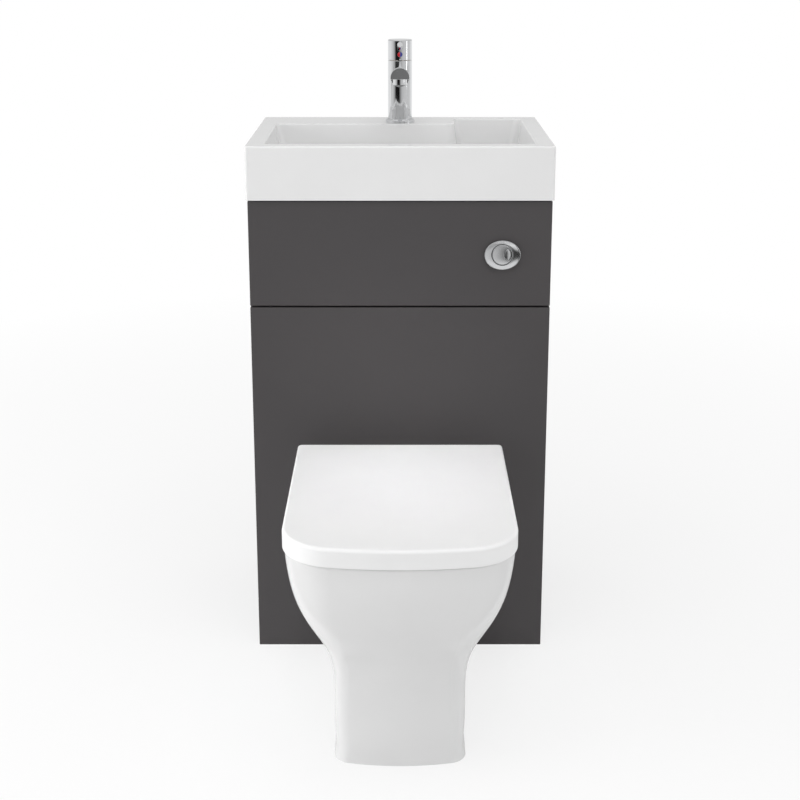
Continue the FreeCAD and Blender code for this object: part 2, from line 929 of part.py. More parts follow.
def bracket_screw(name, sign, y, z):
    """A pan-head screw on the inner face of the side leg, short of the side panel's own wood."""
    face = (inner_side - s.bracket_gauge) * sign
    if sign > 0:
        head_x, shank_x = face - s.bracket_head_height, face - s.bracket_head_height
    else:
        head_x, shank_x = face, face - s.bracket_gauge
    head = rod(f"{name}_head", s.bracket_head_radius, s.bracket_head_height, (head_x, y, z), TO_RIGHT)
    length = s.bracket_head_height + s.bracket_gauge
    shank = rod(f"{name}_shank", s.bracket_screw_radius, length, (shank_x, y, z), TO_RIGHT)
    return fuse(name, head, shank)


# Basin: a ceramic skirt box with an L-shaped bowl that passes beside the tap deck


def bowl_outline(name, level, grow, convex, deck_round, back_round):
    """The bowl's outline, grown outwards from its mouth by a distance."""
    side = basin_width / 2 - s.side_rim + grow
    front = -(basin_depth - s.front_rim) - grow
    deck, back = -s.deck_depth + grow, -s.rear_rim + grow
    step = s.deck_end - grow
    corners = [
        (-side, front, convex),
        (side, front, convex),
        (side, back, back_round),
        (step, back, convex),
        (step, deck, deck_round),
        (-side, deck, convex),
    ]
    return boxy_outline(name, level, corners)


def basin_rectangle(name, level, inset, corner):
    side = basin_width / 2 - inset
    corners = [(-side, inset - basin_depth), (side, inset - basin_depth), (side, -inset), (-side, -inset)]
    return boxy_outline(name, level, [(x, y, corner) for x, y in corners])


def make_basin():
    outside = raised(
        "basin_block",
        basin_rectangle("basin_plan", s.cabinet_height, s.basin_wall * 0, s.basin_corner),
        s.basin_height,
    )
    eased = rounded("basin_eased", outside, s.basin_edge, at_level(basin_top))
    hollow_height = s.basin_height - s.basin_wall + s.cut_overrun
    hollow_plan = basin_rectangle(
        "basin_hollow_plan", s.cabinet_height - s.cut_overrun, s.basin_wall, s.basin_corner
    )
    skirt = cut("basin_skirt", eased, raised("basin_hollow", hollow_plan, hollow_height))

    floor = basin_top - s.bowl_depth
    shell_top = basin_top - s.basin_wall / 2
    shell_foot = floor - s.bowl_wall
    shell = lofted(
        "bowl_shell",
        [
            bowl_outline(
                "shell_top",
                shell_top,
                s.bowl_wall,
                s.bowl_corner + s.bowl_wall,
                s.deck_corner - s.bowl_wall / 2,
                s.back_corner + s.bowl_wall,
            ),
            bowl_outline(
                "shell_foot",
                shell_foot,
                s.bowl_wall - s.bowl_draft,
                s.bowl_floor_corner + s.bowl_wall,
                s.deck_corner,
                s.bowl_floor_corner + s.bowl_wall,
            ),
        ],
        ruled=True,
    )
    shell_round = rounded("bowl_shell_round", shell, s.bowl_floor_round, at_level(shell_foot))
    mouth_level = basin_top + s.cut_overrun
    cavity = lofted(
        "bowl_cavity",
        [
            bowl_outline(
                "bowl_mouth", mouth_level, 0 * s.bowl_wall, s.bowl_corner, s.deck_corner, s.back_corner
            ),
            bowl_outline(
                "bowl_floor",
                floor,
                -s.bowl_draft,
                s.bowl_floor_corner,
                s.deck_corner + s.bowl_draft,
                s.bowl_floor_corner,
            ),
        ],
        ruled=True,
    )
    cavity_round = rounded("bowl_cavity_round", cavity, s.bowl_floor_round, at_level(floor))
    waste_hole = rod(
        "basin_waste_hole",
        s.waste_hole_radius,
        s.bowl_wall * 2,
        (0, -s.waste_ahead, floor - s.bowl_wall * 3 / 2),
    )
    tap_hole = rod(
        "basin_tap_hole",
        s.tap_hole_radius,
        s.basin_wall * 2,
        (0, -s.tap_ahead, basin_top - s.basin_wall * 3 / 2),
    )
    overflow = rod(
        "basin_overflow_hole", s.overflow_hole_radius, s.bowl_wall * 3, overflow_place(-s.bowl_wall * 3 / 2)
    )
    leaned(overflow, wall_lean())
    holed = cut(
        "basin_cast", fuse("basin_body", skirt, shell_round), cavity_round, waste_hole, tap_hole, overflow
    )
    node(rounded("basin_lipped", holed, s.bowl_lip, bowl_mouth_edge), "basin")


def bowl_mouth_edge(edge):
    """Chooses the edge where the bowl meets the top, and neither the outer edge nor the tap hole."""
    box = edge.BoundBox
    flat = at_level(basin_top)(edge)
    hole = abs(edge.Length - math.tau * float(s.tap_hole_radius)) < float(s.running_clearance)
    outer = float(basin_width) / 2 - float(s.basin_edge) * 2
    deep = float(basin_depth - s.basin_edge * 2)
    inside = max(
        abs(box.XMin), abs(box.XMax)
    ) < outer and box.YMin > -deep and box.YMax < -float(s.basin_edge) * 2
    return flat and inside and not hole


def wall_lean():
    """Angle between the vertical and the axis of a hole that is square to the bowl's sloping wall."""
    slope = (s.bowl_depth + s.cut_overrun) / s.bowl_draft
    return Size(math.degrees(math.atan(float(slope))), f"(atan({slope.formula}) / 1 deg)")


def overflow_place(along):
    """A point on the overflow's axis, which is square to the bowl's front wall."""
    drop = s.overflow_drop + s.cut_overrun
    wall_y = -basin_depth + s.front_rim + drop * s.bowl_draft / (s.bowl_depth + s.cut_overrun)
    level = basin_top - s.overflow_drop
    return (0, wall_y + along * sine(wall_lean()), level + along * cosine(wall_lean()))


def leaned(piece, angle):
    """Turns an upright piece to the wall by an angle."""
    piece.Placement.Rotation = Rotation(Vector(-1, 0, 0), float(angle))
    bind(piece, "Placement.Rotation.Angle", angle)
    return piece


def make_overflow_ring():
    flange, bore = s.overflow_ring_height, s.overflow_hole_radius - s.overflow_ring_height
    snout = s.overflow_hole_radius - s.cartridge_clearance
    corners = [
        (bore, -s.bowl_wall),
        (snout, -s.bowl_wall),
        (snout, s.overflow_ring_gap),
        (s.overflow_ring_radius, s.overflow_ring_gap),
        (s.overflow_hole_radius, flange),
        (bore, flange),
    ]
    ring = turned("overflow_ring", corners, overflow_place(0 * flange))
    node(leaned(ring, wall_lean()), "basin_overflow_ring")


# Basin waste with a push-down plug, bottle trap and waste pipe to the wall


def waste_axis(level):
    return (0, -s.waste_ahead, level)


def make_waste():
    floor = basin_top - s.bowl_depth
    flange_top = floor + s.waste_flange_height
    tail_foot = floor - s.waste_tail_length
    tube = turned(
        "waste_tube",
        [
            (s.waste_tail_bore, -s.waste_tail_length),
            (s.waste_tail_radius, -s.waste_tail_length),
            (s.waste_tail_radius, 0),
            (s.waste_flange_radius, 0),
            (s.waste_flange_radius - s.waste_flange_height, s.waste_flange_height),
            (s.waste_tail_bore, s.waste_flange_height),
        ],
        waste_axis(floor),
    )
    bridge_top = floor - s.waste_bridge_drop
    bridge_z = (bridge_top - s.waste_bridge_height, bridge_top)
    half = s.waste_bridge_width / 2
    reach = s.waste_tail_bore + s.waste_flange_height / 2
    y = -s.waste_ahead
    bridge = block("waste_bridge", (-reach, reach), (y - half, y + half), bridge_z)
    guide = rod("waste_guide", s.waste_guide_radius, s.waste_bridge_height, waste_axis(bridge_z[0]))
    bore = rod(
        "waste_guide_bore",
        s.plug_stem_radius + s.running_clearance,
        s.waste_bridge_height * 2,
        waste_axis(bridge_z[0] - s.waste_bridge_height / 2),
    )
    node(cut("waste", fuse("waste_cast", tube, bridge, guide), bore), "waste_body")

    top = s.plug_rise
    node(
        turned(
            "plug",
            [
                (0, top - s.plug_stem_length),
                (s.plug_stem_radius, top - s.plug_stem_length),
                (s.plug_stem_radius, top),
                (s.plug_radius, top),
                (s.plug_radius, top + s.plug_edge),
                (s.plug_radius / 2, top + s.plug_crown),
                (0, top + s.plug_crown + s.plug_edge / 2),
            ],
            waste_axis(flange_top),
        ),
        "waste_plug",
    )
    seal_top = floor - s.bowl_wall
    seal = turned(
        "waste_washer",
        tube_corners(s.waste_tail_radius, s.waste_nut_radius, -s.waste_seal_height, 0 * s.board),
        waste_axis(seal_top),
    )
    node(seal, "waste_seal")
    nut_foot = seal_top - s.waste_seal_height - s.waste_nut_height
    nut = hexagon("waste_nut_blank", s.waste_nut_radius, s.waste_nut_height, waste_axis(nut_foot))
    node(
        cut(
            "waste_nut",
            nut,
            rod(
                "waste_nut_bore",
                s.waste_tail_radius,
                s.waste_nut_height * 3,
                waste_axis(nut_foot - s.waste_nut_height),
            ),
        ),
        "waste_back_nut",
    )
    make_trap(tail_foot)


def make_trap(tail_foot):
    top = tail_foot + s.trap_overlap
    nut_top = top + s.trap_nut_height / 2
    nut_low = nut_top - s.trap_nut_height
    nut_corners = [
        (s.waste_tail_radius, top - nut_low),
        (s.trap_radius, top - nut_low),
        (s.trap_radius, 0),
        (s.trap_nut_radius + s.trap_wall, 0),
        (s.trap_nut_radius, s.trap_nut_height),
        (s.waste_tail_radius, s.trap_nut_height),
    ]
    inlet_nut = turned("trap_nut", nut_corners, waste_axis(nut_low))

    outlet = top - s.trap_outlet_drop
    shell = turned(
        "trap_shell",
        [
            (s.trap_radius - s.trap_wall, -s.trap_length),
            (s.trap_radius, -s.trap_length),
            (s.trap_radius, 0),
            (s.waste_tail_radius, 0),
            (s.waste_tail_radius, -s.trap_overlap),
            (s.trap_radius - s.trap_wall, -s.trap_overlap - s.trap_wall),
        ],
        waste_axis(top),
    )
    spigot = rod(
        "trap_spigot",
        s.waste_pipe_radius,
        s.outlet_nut_start + s.outlet_nut_length / 2,
        waste_axis(outlet),
        TO_RIGHT,
    )
    spigot_bore = rod(
        "trap_spigot_bore",
        s.waste_pipe_radius - s.waste_pipe_wall,
        waste_pipe_offset / 2,
        waste_axis(outlet),
        TO_RIGHT,
    )
    room = rod(
        "trap_room",
        s.trap_radius - s.trap_wall,
        s.trap_length - s.trap_overlap - s.trap_wall,
        waste_axis(top - s.trap_length),
    )
    node(cut("trap", fuse("trap_moulding", shell, spigot), spigot_bore, room), "trap_body")

    cup_top = top - s.trap_length + s.trap_overlap
    cup = turned(
        "trap_cup_turned",
        [
            (0, -s.trap_cup_height),
            (s.trap_radius, -s.trap_cup_height),
            (s.trap_cup_radius, -s.trap_cup_height + s.trap_cup_radius - s.trap_radius),
            (s.trap_cup_radius, 0),
            (s.trap_radius, 0),
            (s.trap_radius, -s.trap_overlap),
            (s.trap_radius - s.trap_wall, -s.trap_overlap),
            (s.trap_radius - s.trap_wall, -s.trap_cup_height + s.trap_wall),
            (0, -s.trap_cup_height + s.trap_wall),
        ],
        waste_axis(cup_top),
    )
    node(cup, "trap_cup")

    y = -s.waste_ahead
    end = s.outlet_nut_start + s.outlet_nut_length / 2
    route = [(end, y, outlet), (waste_pipe_offset, y, outlet), (waste_pipe_offset, 0, outlet)]
    node(
        swept_pipe("waste_run", route, s.waste_pipe_bend, s.waste_pipe_radius, s.waste_pipe_wall, TO_RIGHT),
        "waste_pipe",
    )
    ring = tube_corners(s.waste_pipe_radius, s.outlet_nut_radius, 0, s.outlet_nut_length)
    outlet_nut = turned("trap_outlet_ring", ring, (s.outlet_nut_start, y, outlet), TO_RIGHT)
    node(fuse("trap_nut_pair", inlet_nut, outlet_nut), "trap_nuts")


# Mixer tap: a one-hole body with an inclined spout, and a pin lever on a turning and lifting cap


def tap_axis(level):
    return (0, -s.tap_ahead, basin_top + level)


def tap_block(name, x, y, z):
    """A box whose y is counted from the tap's axis and whose z from the basin's top."""
    return block(name, x, (y[0] - s.tap_ahead, y[1] - s.tap_ahead), (basin_top + z[0], basin_top + z[1]))


def tilted_rod(name, radius, length, at, tilt):
    """A rod that leans from upright to the front by an angle."""
    piece = rod(name, radius, length, at, Rotation(Vector(1, 0, 0), float(tilt)))
    bind(piece, "Placement.Rotation.Angle", tilt)
    return piece


def make_tap():
    outer = turned(
        "tap_column",
        [(0, 0), (s.tap_radius, 0), (s.tap_radius, s.tap_height), (0, s.tap_height)],
        tap_axis(0),
    )
    reach = s.tap_radius + s.spout_reach
    spout = tilted_rod(
        "tap_spout", s.spout_radius, reach + s.spout_radius, tap_axis(s.spout_root_level), s.spout_tilt
    )
    wide = (-s.tap_radius * 2, s.tap_radius * 2)
    past_end = tap_block("tap_spout_end", wide, (-reach * 2, -reach), (0, s.tap_height * 2))
    under = tap_block(
        "tap_spout_flat", wide, (-reach * 2, -(reach - s.spout_flat_length)), (0, s.spout_flat_level)
    )
    way = tilted_rod(
        "tap_water_way", s.spout_bore, reach - s.aerator_inset, tap_axis(s.spout_root_level), s.spout_tilt
    )
    down = rod(
        "tap_aerator_seat",
        s.aerator_thread_radius,
        s.aerator_thread_height,
        aerator_place(s.spout_flat_level),
    )
    tails = rod("tap_tail_room", s.tap_tail_bore, s.tap_web_level + s.cut_overrun, tap_axis(-s.cut_overrun))
    room = rod("tap_cartridge_room", s.cartridge_bore, s.tap_height, tap_axis(s.cartridge_level))
    stud_y = -s.tap_ahead
    stud_hole = rod(
        "tap_stud_hole", s.tap_stud_radius, s.tap_web_level + s.tap_stud_engaged, (0, stud_y, basin_top)
    )
    body = cut("tap", fuse("tap_cast", outer, spout), past_end, under, way, down, tails, room, stud_hole)
    node(body, "tap_body")

    foot_bore = s.tap_radius + s.tap_foot_clearance
    foot = [
        (foot_bore, 0),
        (s.tap_foot_radius, 0),
        (s.tap_foot_radius, s.tap_foot_height * 2 / 3),
        (s.tap_foot_radius - s.tap_foot_height / 3, s.tap_foot_height),
        (foot_bore, s.tap_foot_height),
    ]
    node(turned("tap_foot", foot, tap_axis(0)), "tap_base_ring")

    aerator = [
        (s.aerator_bore, 0),
        (s.aerator_radius, 0),
        (s.aerator_radius, s.aerator_height),
        (s.aerator_thread_radius, s.aerator_height),
        (s.aerator_thread_radius, s.aerator_height + s.aerator_thread_height),
        (0, s.aerator_height + s.aerator_thread_height),
        (0, s.aerator_height / 3),
        (s.aerator_bore, s.aerator_height / 3),
    ]
    node(turned("aerator", aerator, aerator_place(s.spout_flat_level - s.aerator_height)), "tap_aerator")
    make_cartridge()
    make_handle()
    make_tap_fixing()


def aerator_place(level):
    y = -s.tap_ahead - s.tap_radius - s.spout_reach + s.aerator_inset
    return (0, y, basin_top + level)


def make_cartridge():
    radius = s.cartridge_bore - s.cartridge_clearance
    recess = s.cartridge_top - s.cartridge_recess_depth
    corners = [
        (0, s.cartridge_level),
        (radius, s.cartridge_level),
        (radius, s.cartridge_top),
        (s.cartridge_recess_radius, s.cartridge_top),
        (s.cartridge_recess_radius, recess),
        (0, recess),
    ]
    node(turned("cartridge", corners, tap_axis(0)), "tap_cartridge")
    nut = tube_corners(s.turret_radius + s.turret_clearance, radius, s.cartridge_top, s.tap_height)
    node(turned("cartridge_nut", nut, tap_axis(0)), "tap_cartridge_nut")

    low, high = s.cartridge_top, s.cartridge_top + s.turret_height
    disc = rod("turret_disc", s.turret_radius, s.turret_height, tap_axis(low))
    slot_x = s.stem_width / 2 + s.stem_side_clearance
    slot = tap_block(
        "turret_slot",
        (-slot_x, slot_x),
        (-s.turret_slot_width / 2, s.turret_slot_width / 2),
        (low - s.cut_overrun, high + s.cut_overrun),
    )
    pin_x = s.turret_radius - s.turret_clearance
    pin_place = (-pin_x, -s.tap_ahead, basin_top + s.handle_pivot_level)
    pin = rod("pivot_pin", s.pivot_pin_radius, pin_x * 2, pin_place, TO_RIGHT)
    node(fuse("turret", cut("turret_slotted", disc, slot), pin), "tap_turret")


def make_handle():
    half_x, half_y = s.stem_width / 2, s.stem_thickness / 2
    stem = tap_block("stem_bar", (-half_x, half_x), (-half_y, half_y), (s.stem_foot, s.stem_top))
    pivot = (-s.stem_width, -s.tap_ahead, basin_top + s.handle_pivot_level)
    stem_hole = rod(
        "stem_pin_hole", s.pivot_pin_radius + s.running_clearance, s.stem_width * 2, pivot, TO_RIGHT
    )
    node(cut("stem", stem, stem_hole), "tap_stem")

    low = s.tap_height + s.handle_gap
    high = low + s.handle_height
    cap = turned(
        "cap_turned",
        [
            (s.handle_cavity_radius, low),
            (s.tap_radius, low),
            (s.tap_radius, high - s.handle_edge),
            (s.tap_radius - s.handle_edge, high),
            (0, high),
            (0, low + s.handle_cavity_height),
            (s.handle_cavity_radius, low + s.handle_cavity_height),
        ],
        tap_axis(0),
    )
    boss = tap_block(
        "cap_boss",
        (-s.stem_width, s.stem_width),
        (-s.stem_width, s.stem_width),
        (s.stem_top - s.stem_width, low + s.handle_cavity_height),
    )
    socket = tap_block("cap_socket", (-half_x, half_x), (-half_y, half_y), (low, s.stem_top))
    wedge = relief_wedge(low)
    lever_at = lever_place()
    lever_bore = tilted_rod("cap_lever_bore", s.lever_radius, s.lever_length, lever_at, s.lever_tilt)
    index_y = -s.tap_ahead - s.tap_radius + s.index_depth
    index_at = (0, index_y, basin_top + s.index_level)
    index_bore = rod("cap_index_bore", s.index_radius, s.index_depth * 2, index_at, TO_FRONT)
    node(cut("cap", fuse("cap_cast", cap, boss), socket, wedge, lever_bore, index_bore), "tap_handle")

    run = s.lever_length + s.tap_radius - s.lever_root
    lever = tilted_rod("lever_bar", s.lever_radius, run, lever_at, s.lever_tilt)
    eased = rounded(
        "lever_eased",
        lever,
        s.lever_edge,
        lambda edge: edge.BoundBox.YMin < float(-s.tap_ahead - s.tap_radius - s.lever_length / 2),
    )
    node(eased, "tap_lever")
    plug = [
        (0, 0), (s.index_radius, 0), (s.index_radius, s.index_depth), (0, s.index_depth + s.index_proud)
    ]
    node(turned("index", plug, index_at, TO_FRONT), "tap_index_plug")


def lever_place():
    root_level = s.lever_level - (s.tap_radius - s.lever_root) / tangent(s.lever_tilt)
    return (0, -s.tap_ahead - s.lever_root, basin_top + root_level)


def relief_wedge(low):
    """Clears the rear of the cap's lower rim, so that the cap can tilt back."""
    size = s.tap_radius * 2
    wedge = document.addObject("Part::Wedge", "cap_relief")
    drop = size * tangent(s.handle_relief_angle)
    for name, value in (
        ("Xmin", 0 * size),
        ("Ymin", 0 * size),
        ("Zmin", 0 * size),
        ("X2min", 0 * size),
        ("Z2min", 0 * size),
        ("Xmax", size),
        ("Ymax", size),
        ("Zmax", drop),
        ("X2max", size),
        ("Z2max", 0 * size),
    ):
        set_length(wedge, name, value)
    turn = Rotation(Vector(0, 0, 1), 180)
    return place(wedge, (s.tap_radius, size - s.tap_ahead, basin_top + low), turn)


def make_tap_fixing():
    length = s.tap_stud_drop + s.tap_web_level + s.tap_stud_engaged
    node(rod("stud", s.tap_stud_radius, length, tap_axis(-s.tap_stud_drop)), "tap_fixing_stud")
    under = -s.basin_wall
    washer = rod(
        "washer_disc", s.tap_washer_radius, s.tap_washer_height, tap_axis(under - s.tap_washer_height)
    )
    slot = tap_block(
        "washer_slot",
        (-s.tap_stud_radius, s.tap_stud_radius),
        (-s.tap_washer_radius * 2, 0 * s.board),
        (under * 2, 0 * s.board),
    )
    bore = rod("washer_bore", s.tap_stud_radius, s.basin_wall * 2, tap_axis(under * 2))
    horseshoe = cut("washer_horseshoe", washer, slot, bore)
    nut_low = under - s.tap_washer_height - s.tap_nut_height
    nut = cut(
        "tap_nut_drilled",
        hexagon("tap_nut_blank", s.tap_nut_radius, s.tap_nut_height, tap_axis(nut_low)),
        rod(
            "tap_nut_bore",
            s.tap_stud_radius,
            s.tap_nut_height * 2,
            tap_axis(nut_low - s.tap_nut_height / 2),
        ),
    )
    node(fuse("tap_nut", horseshoe, nut), "tap_fixing_nut")


# Concealed cistern with its fill valve, flush valve and flush pipe


def cistern_middle():
    return -(s.tank_back_gap + s.tank_depth / 2)


def flush_axis(level):
    return (0, cistern_middle(), level)


def fill_axis(level):
    return (-fill_offset, cistern_middle(), level)


def tank_outline(name, level, grow):
    half = tank_width / 2 + grow
    back, front = -s.tank_back_gap + grow, -(s.tank_back_gap + s.tank_depth) - grow
    corner = s.tank_corner + grow
    return boxy_outline(
        name,
        level,
        [(-half, front, corner), (half, front, corner), (half, back, corner), (-half, back, corner)],
    )


def make_cistern():
    foot = shelf_level + s.board
    top = foot + tank_height
    outside = raised("tank_outside", tank_outline("tank_plan", foot, 0 * s.tank_wall), tank_height)
    inside = raised(
        "tank_inside", tank_outline("tank_room_plan", foot + s.tank_wall, -s.tank_wall), tank_height
    )
    flush_hole = rod(
        "tank_flush_hole", s.flush_tail_radius, s.tank_wall * 3, flush_axis(foot - s.tank_wall)
    )
    fill_hole = rod("tank_fill_hole", s.fill_thread_radius, s.tank_wall * 3, fill_axis(foot - s.tank_wall))
    node(cut("tank", outside, inside, flush_hole, fill_hole), "cistern_tank")

    plate = raised("cover_plate", tank_outline("cover_plan", top, s.cover_overhang), s.cover_height)
    lip_plan = tank_outline("cover_lip_plan", top - s.cover_lip, -s.tank_wall - s.peg_clearance)
    lip_room_plan = tank_outline("cover_lip_room_plan", top - s.cover_lip * 2, -s.tank_wall * 2)
    lip = cut(
        "cover_lip_ring",
        raised("cover_lip_blank", lip_plan, s.cover_lip),
        raised("cover_lip_room", lip_room_plan, s.cover_lip * 2),
    )
    node(fuse("cover", plate, lip), "cistern_cover")
    nuts = [make_flush_valve(foot), make_fill_valve(foot), make_flush_pipe(foot)]
    node(fuse("cistern_nut_set", *nuts), "cistern_nuts")


def make_flush_valve(foot):
    floor = foot + s.tank_wall
    cage_inner = s.flush_cage_radius - s.flush_cage_wall
    cage_top = s.flush_flange_height + s.flush_cage_height
    guide = s.plunger_radius + s.plunger_guide_clearance
    shell = turned(
        "flush_valve_turned",
        [
            (s.flush_tail_bore, -s.flush_tail_length),
            (s.flush_tail_radius, -s.flush_tail_length),
            (s.flush_tail_radius, 0),
            (s.flush_flange_radius, 0),
            (s.flush_flange_radius, s.flush_flange_height),
            (s.flush_cage_radius, s.flush_flange_height),
            (s.flush_cage_radius, cage_top),
            (guide, cage_top),
            (guide, cage_top - s.flush_cage_wall),
            (cage_inner, cage_top - s.flush_cage_wall),
            (cage_inner, s.flush_flange_height),
            (s.flush_tail_bore, s.flush_flange_height),
        ],
        flush_axis(floor),
    )
    sill = floor + s.flush_flange_height + s.flush_window_sill
    z = (sill, sill + s.flush_window_height)
    half, reach = s.flush_window_width / 2, s.flush_cage_radius * 2
    middle = cistern_middle()
    window_x = block("flush_window_sides", (-reach, reach), (middle - half, middle + half), z)
    window_y = block("flush_window_ends", (-half, half), (middle - reach, middle + reach), z)
    node(cut("flush_valve", shell, window_x, window_y), "flush_valve_body")

    seat = floor + s.flush_flange_height
    seal = tube_corners(s.flush_tail_bore, s.plunger_disc_radius, 0, s.flush_seal_height)
    node(turned("flush_seal", seal, flush_axis(seat)), "flush_valve_seal")
    start = s.flush_seal_height + s.buffer_gap
    bore = s.plunger_radius - s.plunger_wall
    disc_top = start + s.plunger_disc_height
    plunger = [
        (bore, start),
        (s.plunger_disc_radius, start),
        (s.plunger_disc_radius, disc_top),
        (s.plunger_radius, disc_top + s.plunger_disc_height),
        (s.plunger_radius, plunger_length),
        (bore, plunger_length),
    ]
    node(turned("plunger", plunger, flush_axis(seat)), "flush_valve_plunger")

    nut_foot = foot - s.flush_back_nut_height
    nut = hexagon("flush_nut_blank", s.flush_back_nut_radius, s.flush_back_nut_height, flush_axis(nut_foot))
    bore_foot = nut_foot - s.flush_back_nut_height / 2
    bore = rod("flush_nut_bore", s.flush_tail_radius, s.flush_back_nut_height * 2, flush_axis(bore_foot))
    return cut("flush_nut", nut, bore)


def make_fill_valve(foot):
    floor = foot + s.tank_wall
    column_top = s.fill_flange_height + fill_column_height
    corners = [
        (s.fill_tail_bore, -s.fill_tail_length),
        (s.fill_spigot_radius, -s.fill_tail_length),
        (s.fill_spigot_radius, s.fill_spigot_length - s.fill_tail_length),
        (s.fill_thread_radius, s.fill_spigot_length - s.fill_tail_length),
        (s.fill_thread_radius, 0),
        (s.fill_flange_radius, 0),
        (s.fill_flange_radius, s.fill_flange_height),
        (s.fill_column_radius, s.fill_flange_height),
        (s.fill_column_radius, column_top),
        (s.fill_head_radius, column_top + s.fill_head_radius - s.fill_column_radius),
        (s.fill_head_radius, column_top + s.fill_head_height),
        (0, column_top + s.fill_head_height + s.fill_flange_height),
        (0, column_top),
        (s.fill_tail_bore, column_top - s.fill_tail_bore),
    ]
    node(turned("fill_valve", corners, fill_axis(floor)), "fill_valve_body")
    bore = s.fill_column_radius + s.float_gap
    corners = [
        (bore, 0),
        (s.float_radius - s.float_gap * 4, 0),
        (s.float_radius, s.float_gap * 4),
        (s.float_radius, s.float_height - s.float_gap * 4),
        (s.float_radius - s.float_gap * 4, s.float_height),
        (bore, s.float_height),
    ]
    node(turned("float", corners, fill_axis(floor + float_level)), "fill_valve_float")
    nut_foot = foot - s.fill_nut_height
    nut = hexagon("fill_nut_blank", s.fill_nut_radius, s.fill_nut_height, fill_axis(nut_foot))
    bore_foot = nut_foot - s.fill_nut_height / 2
    bore = rod("fill_nut_bore", s.fill_thread_radius, s.fill_nut_height * 2, fill_axis(bore_foot))
    return cut("fill_nut", nut, bore)


def make_flush_pipe(foot):
    tail_end = foot + s.tank_wall - s.flush_tail_length
    nut_low = tail_end - s.flush_pipe_nut_overlap
    corners = [
        (s.flush_pipe_radius, 0),
        (s.flush_pipe_nut_radius, 0),
        (s.flush_pipe_nut_radius, s.flush_pipe_nut_height),
        (s.flush_tail_radius, s.flush_pipe_nut_height),
        (s.flush_tail_radius, s.flush_pipe_nut_overlap),
        (s.flush_pipe_radius, s.flush_pipe_nut_overlap),
    ]
    pipe_nut = turned("flush_pipe_ring", corners, flush_axis(nut_low))
    y = cistern_middle()
    end = ahead(s.inlet_boss_back + s.cone_length)
    route = [(0, y, tail_end), (0, y, inlet_level), (0, end, inlet_level)]
    node(
        swept_pipe("flush_run", route, s.flush_pipe_bend, s.flush_pipe_radius, s.flush_pipe_wall, DOWNWARD),
        "flush_pipe",
    )
    return pipe_nut


def flush_cone_seal():
    """The rubber cone that seals the flush pipe into the pan's inlet."""
    collar = s.cone_length / 4
    corners = [
        (s.flush_pipe_radius, -collar),
        (s.inlet_boss_radius, -collar),
        (s.inlet_boss_radius, 0),
        (s.inlet_socket_radius, 0),
        (s.inlet_socket_radius, s.cone_length),
        (s.flush_pipe_radius, s.cone_length),
    ]
    return turned("flush_cone", corners, (0, ahead(s.inlet_boss_back), inlet_level), TO_FRONT)


# Dual flush button in the upper front panel


def button_axis(y):
    return (button_offset, y, button_level)


def bezel_oval(name, inset, level):
    oval = document.addObject("Part::Ellipse", name)
    set_length(oval, "MajorRadius", s.bezel_half_width - inset)
    set_length(oval, "MinorRadius", s.bezel_half_height - inset)
    return place(oval, button_axis(level), TO_FRONT)


def make_bezel(face):
    """An oval plate with a rim, dished down to the round mouth for the buttons."""
    crest = face - s.bezel_height
    ovals = [
        bezel_oval("bezel_foot", 0 * s.bezel_rim, face),
        bezel_oval("bezel_waist", 0 * s.bezel_rim, crest + s.bezel_rim),
        bezel_oval("bezel_crest", s.bezel_rim / 2, crest),
    ]
    dish_oval = bezel_oval("bezel_dish_oval", s.bezel_rim, crest)
    mouth = document.addObject("Part::Circle", "bezel_mouth")
    set_length(mouth, "Radius", s.bezel_mouth_radius)
    place(mouth, button_axis(crest + s.bezel_dish), TO_FRONT)
    bore_length = s.bezel_height * 3
    bore_at = button_axis(face + s.bezel_height)
    bore = rod("bezel_bore", s.button_radius + s.button_gap, bore_length, bore_at, TO_FRONT)
    dish = lofted("bezel_dish", [dish_oval, mouth], ruled=True)
    node(cut("bezel", lofted("bezel_plate", ovals, ruled=True), dish, bore), "flush_bezel")


def make_flush_button():
    face = -s.cabinet_depth
    make_bezel(face)
    front = face - s.bezel_height + s.bezel_dish
    corners = [
        (0, 0),
        (s.button_radius, 0),
        (s.button_radius, s.button_length - s.button_edge),
        (s.button_radius - s.button_edge, s.button_length),
        (0, s.button_length - s.button_dish),
    ]
    button = turned("button_turned", corners, button_axis(front + s.button_length), TO_FRONT)
    lens_room = lens("button_lens_room", s.button_gap / 2, front - s.button_dish, s.button_length * 2)
    node(cut("button", button, lens_room), "flush_button_large")
    small_front = front - s.small_button_proud
    small = lens("button_small", 0 * s.button_gap, small_front, s.small_button_length)
    edge_end = float(small_front + s.button_edge)
    eased = rounded("button_small_eased", small, s.button_edge, lambda edge: edge.BoundBox.YMax < edge_end)
    node(eased, "flush_button_small")

    sleeve = turned(
        "sleeve_turned",
        [
            (0, s.sleeve_length - s.sleeve_floor),
            (s.sleeve_radius - s.sleeve_wall, s.sleeve_length - s.sleeve_floor),
            (s.sleeve_radius - s.sleeve_wall, 0),
            (s.sleeve_radius, 0),
            (s.sleeve_radius, s.sleeve_length),
            (0, s.sleeve_length),
        ],
        button_axis(face),
        TO_WALL,
    )
    node(sleeve, "flush_button_sleeve")
    nut = hexagon(
        "sleeve_nut_blank", s.sleeve_nut_radius, s.sleeve_nut_height, button_axis(front_back_face), TO_WALL
    )
    nut_bore = rod(
        "sleeve_nut_bore",
        s.sleeve_radius,
        s.sleeve_nut_height * 3,
        button_axis(front_back_face - s.sleeve_nut_height),
        TO_WALL,
    )
    node(cut("sleeve_nut", nut, nut_bore), "flush_button_nut")


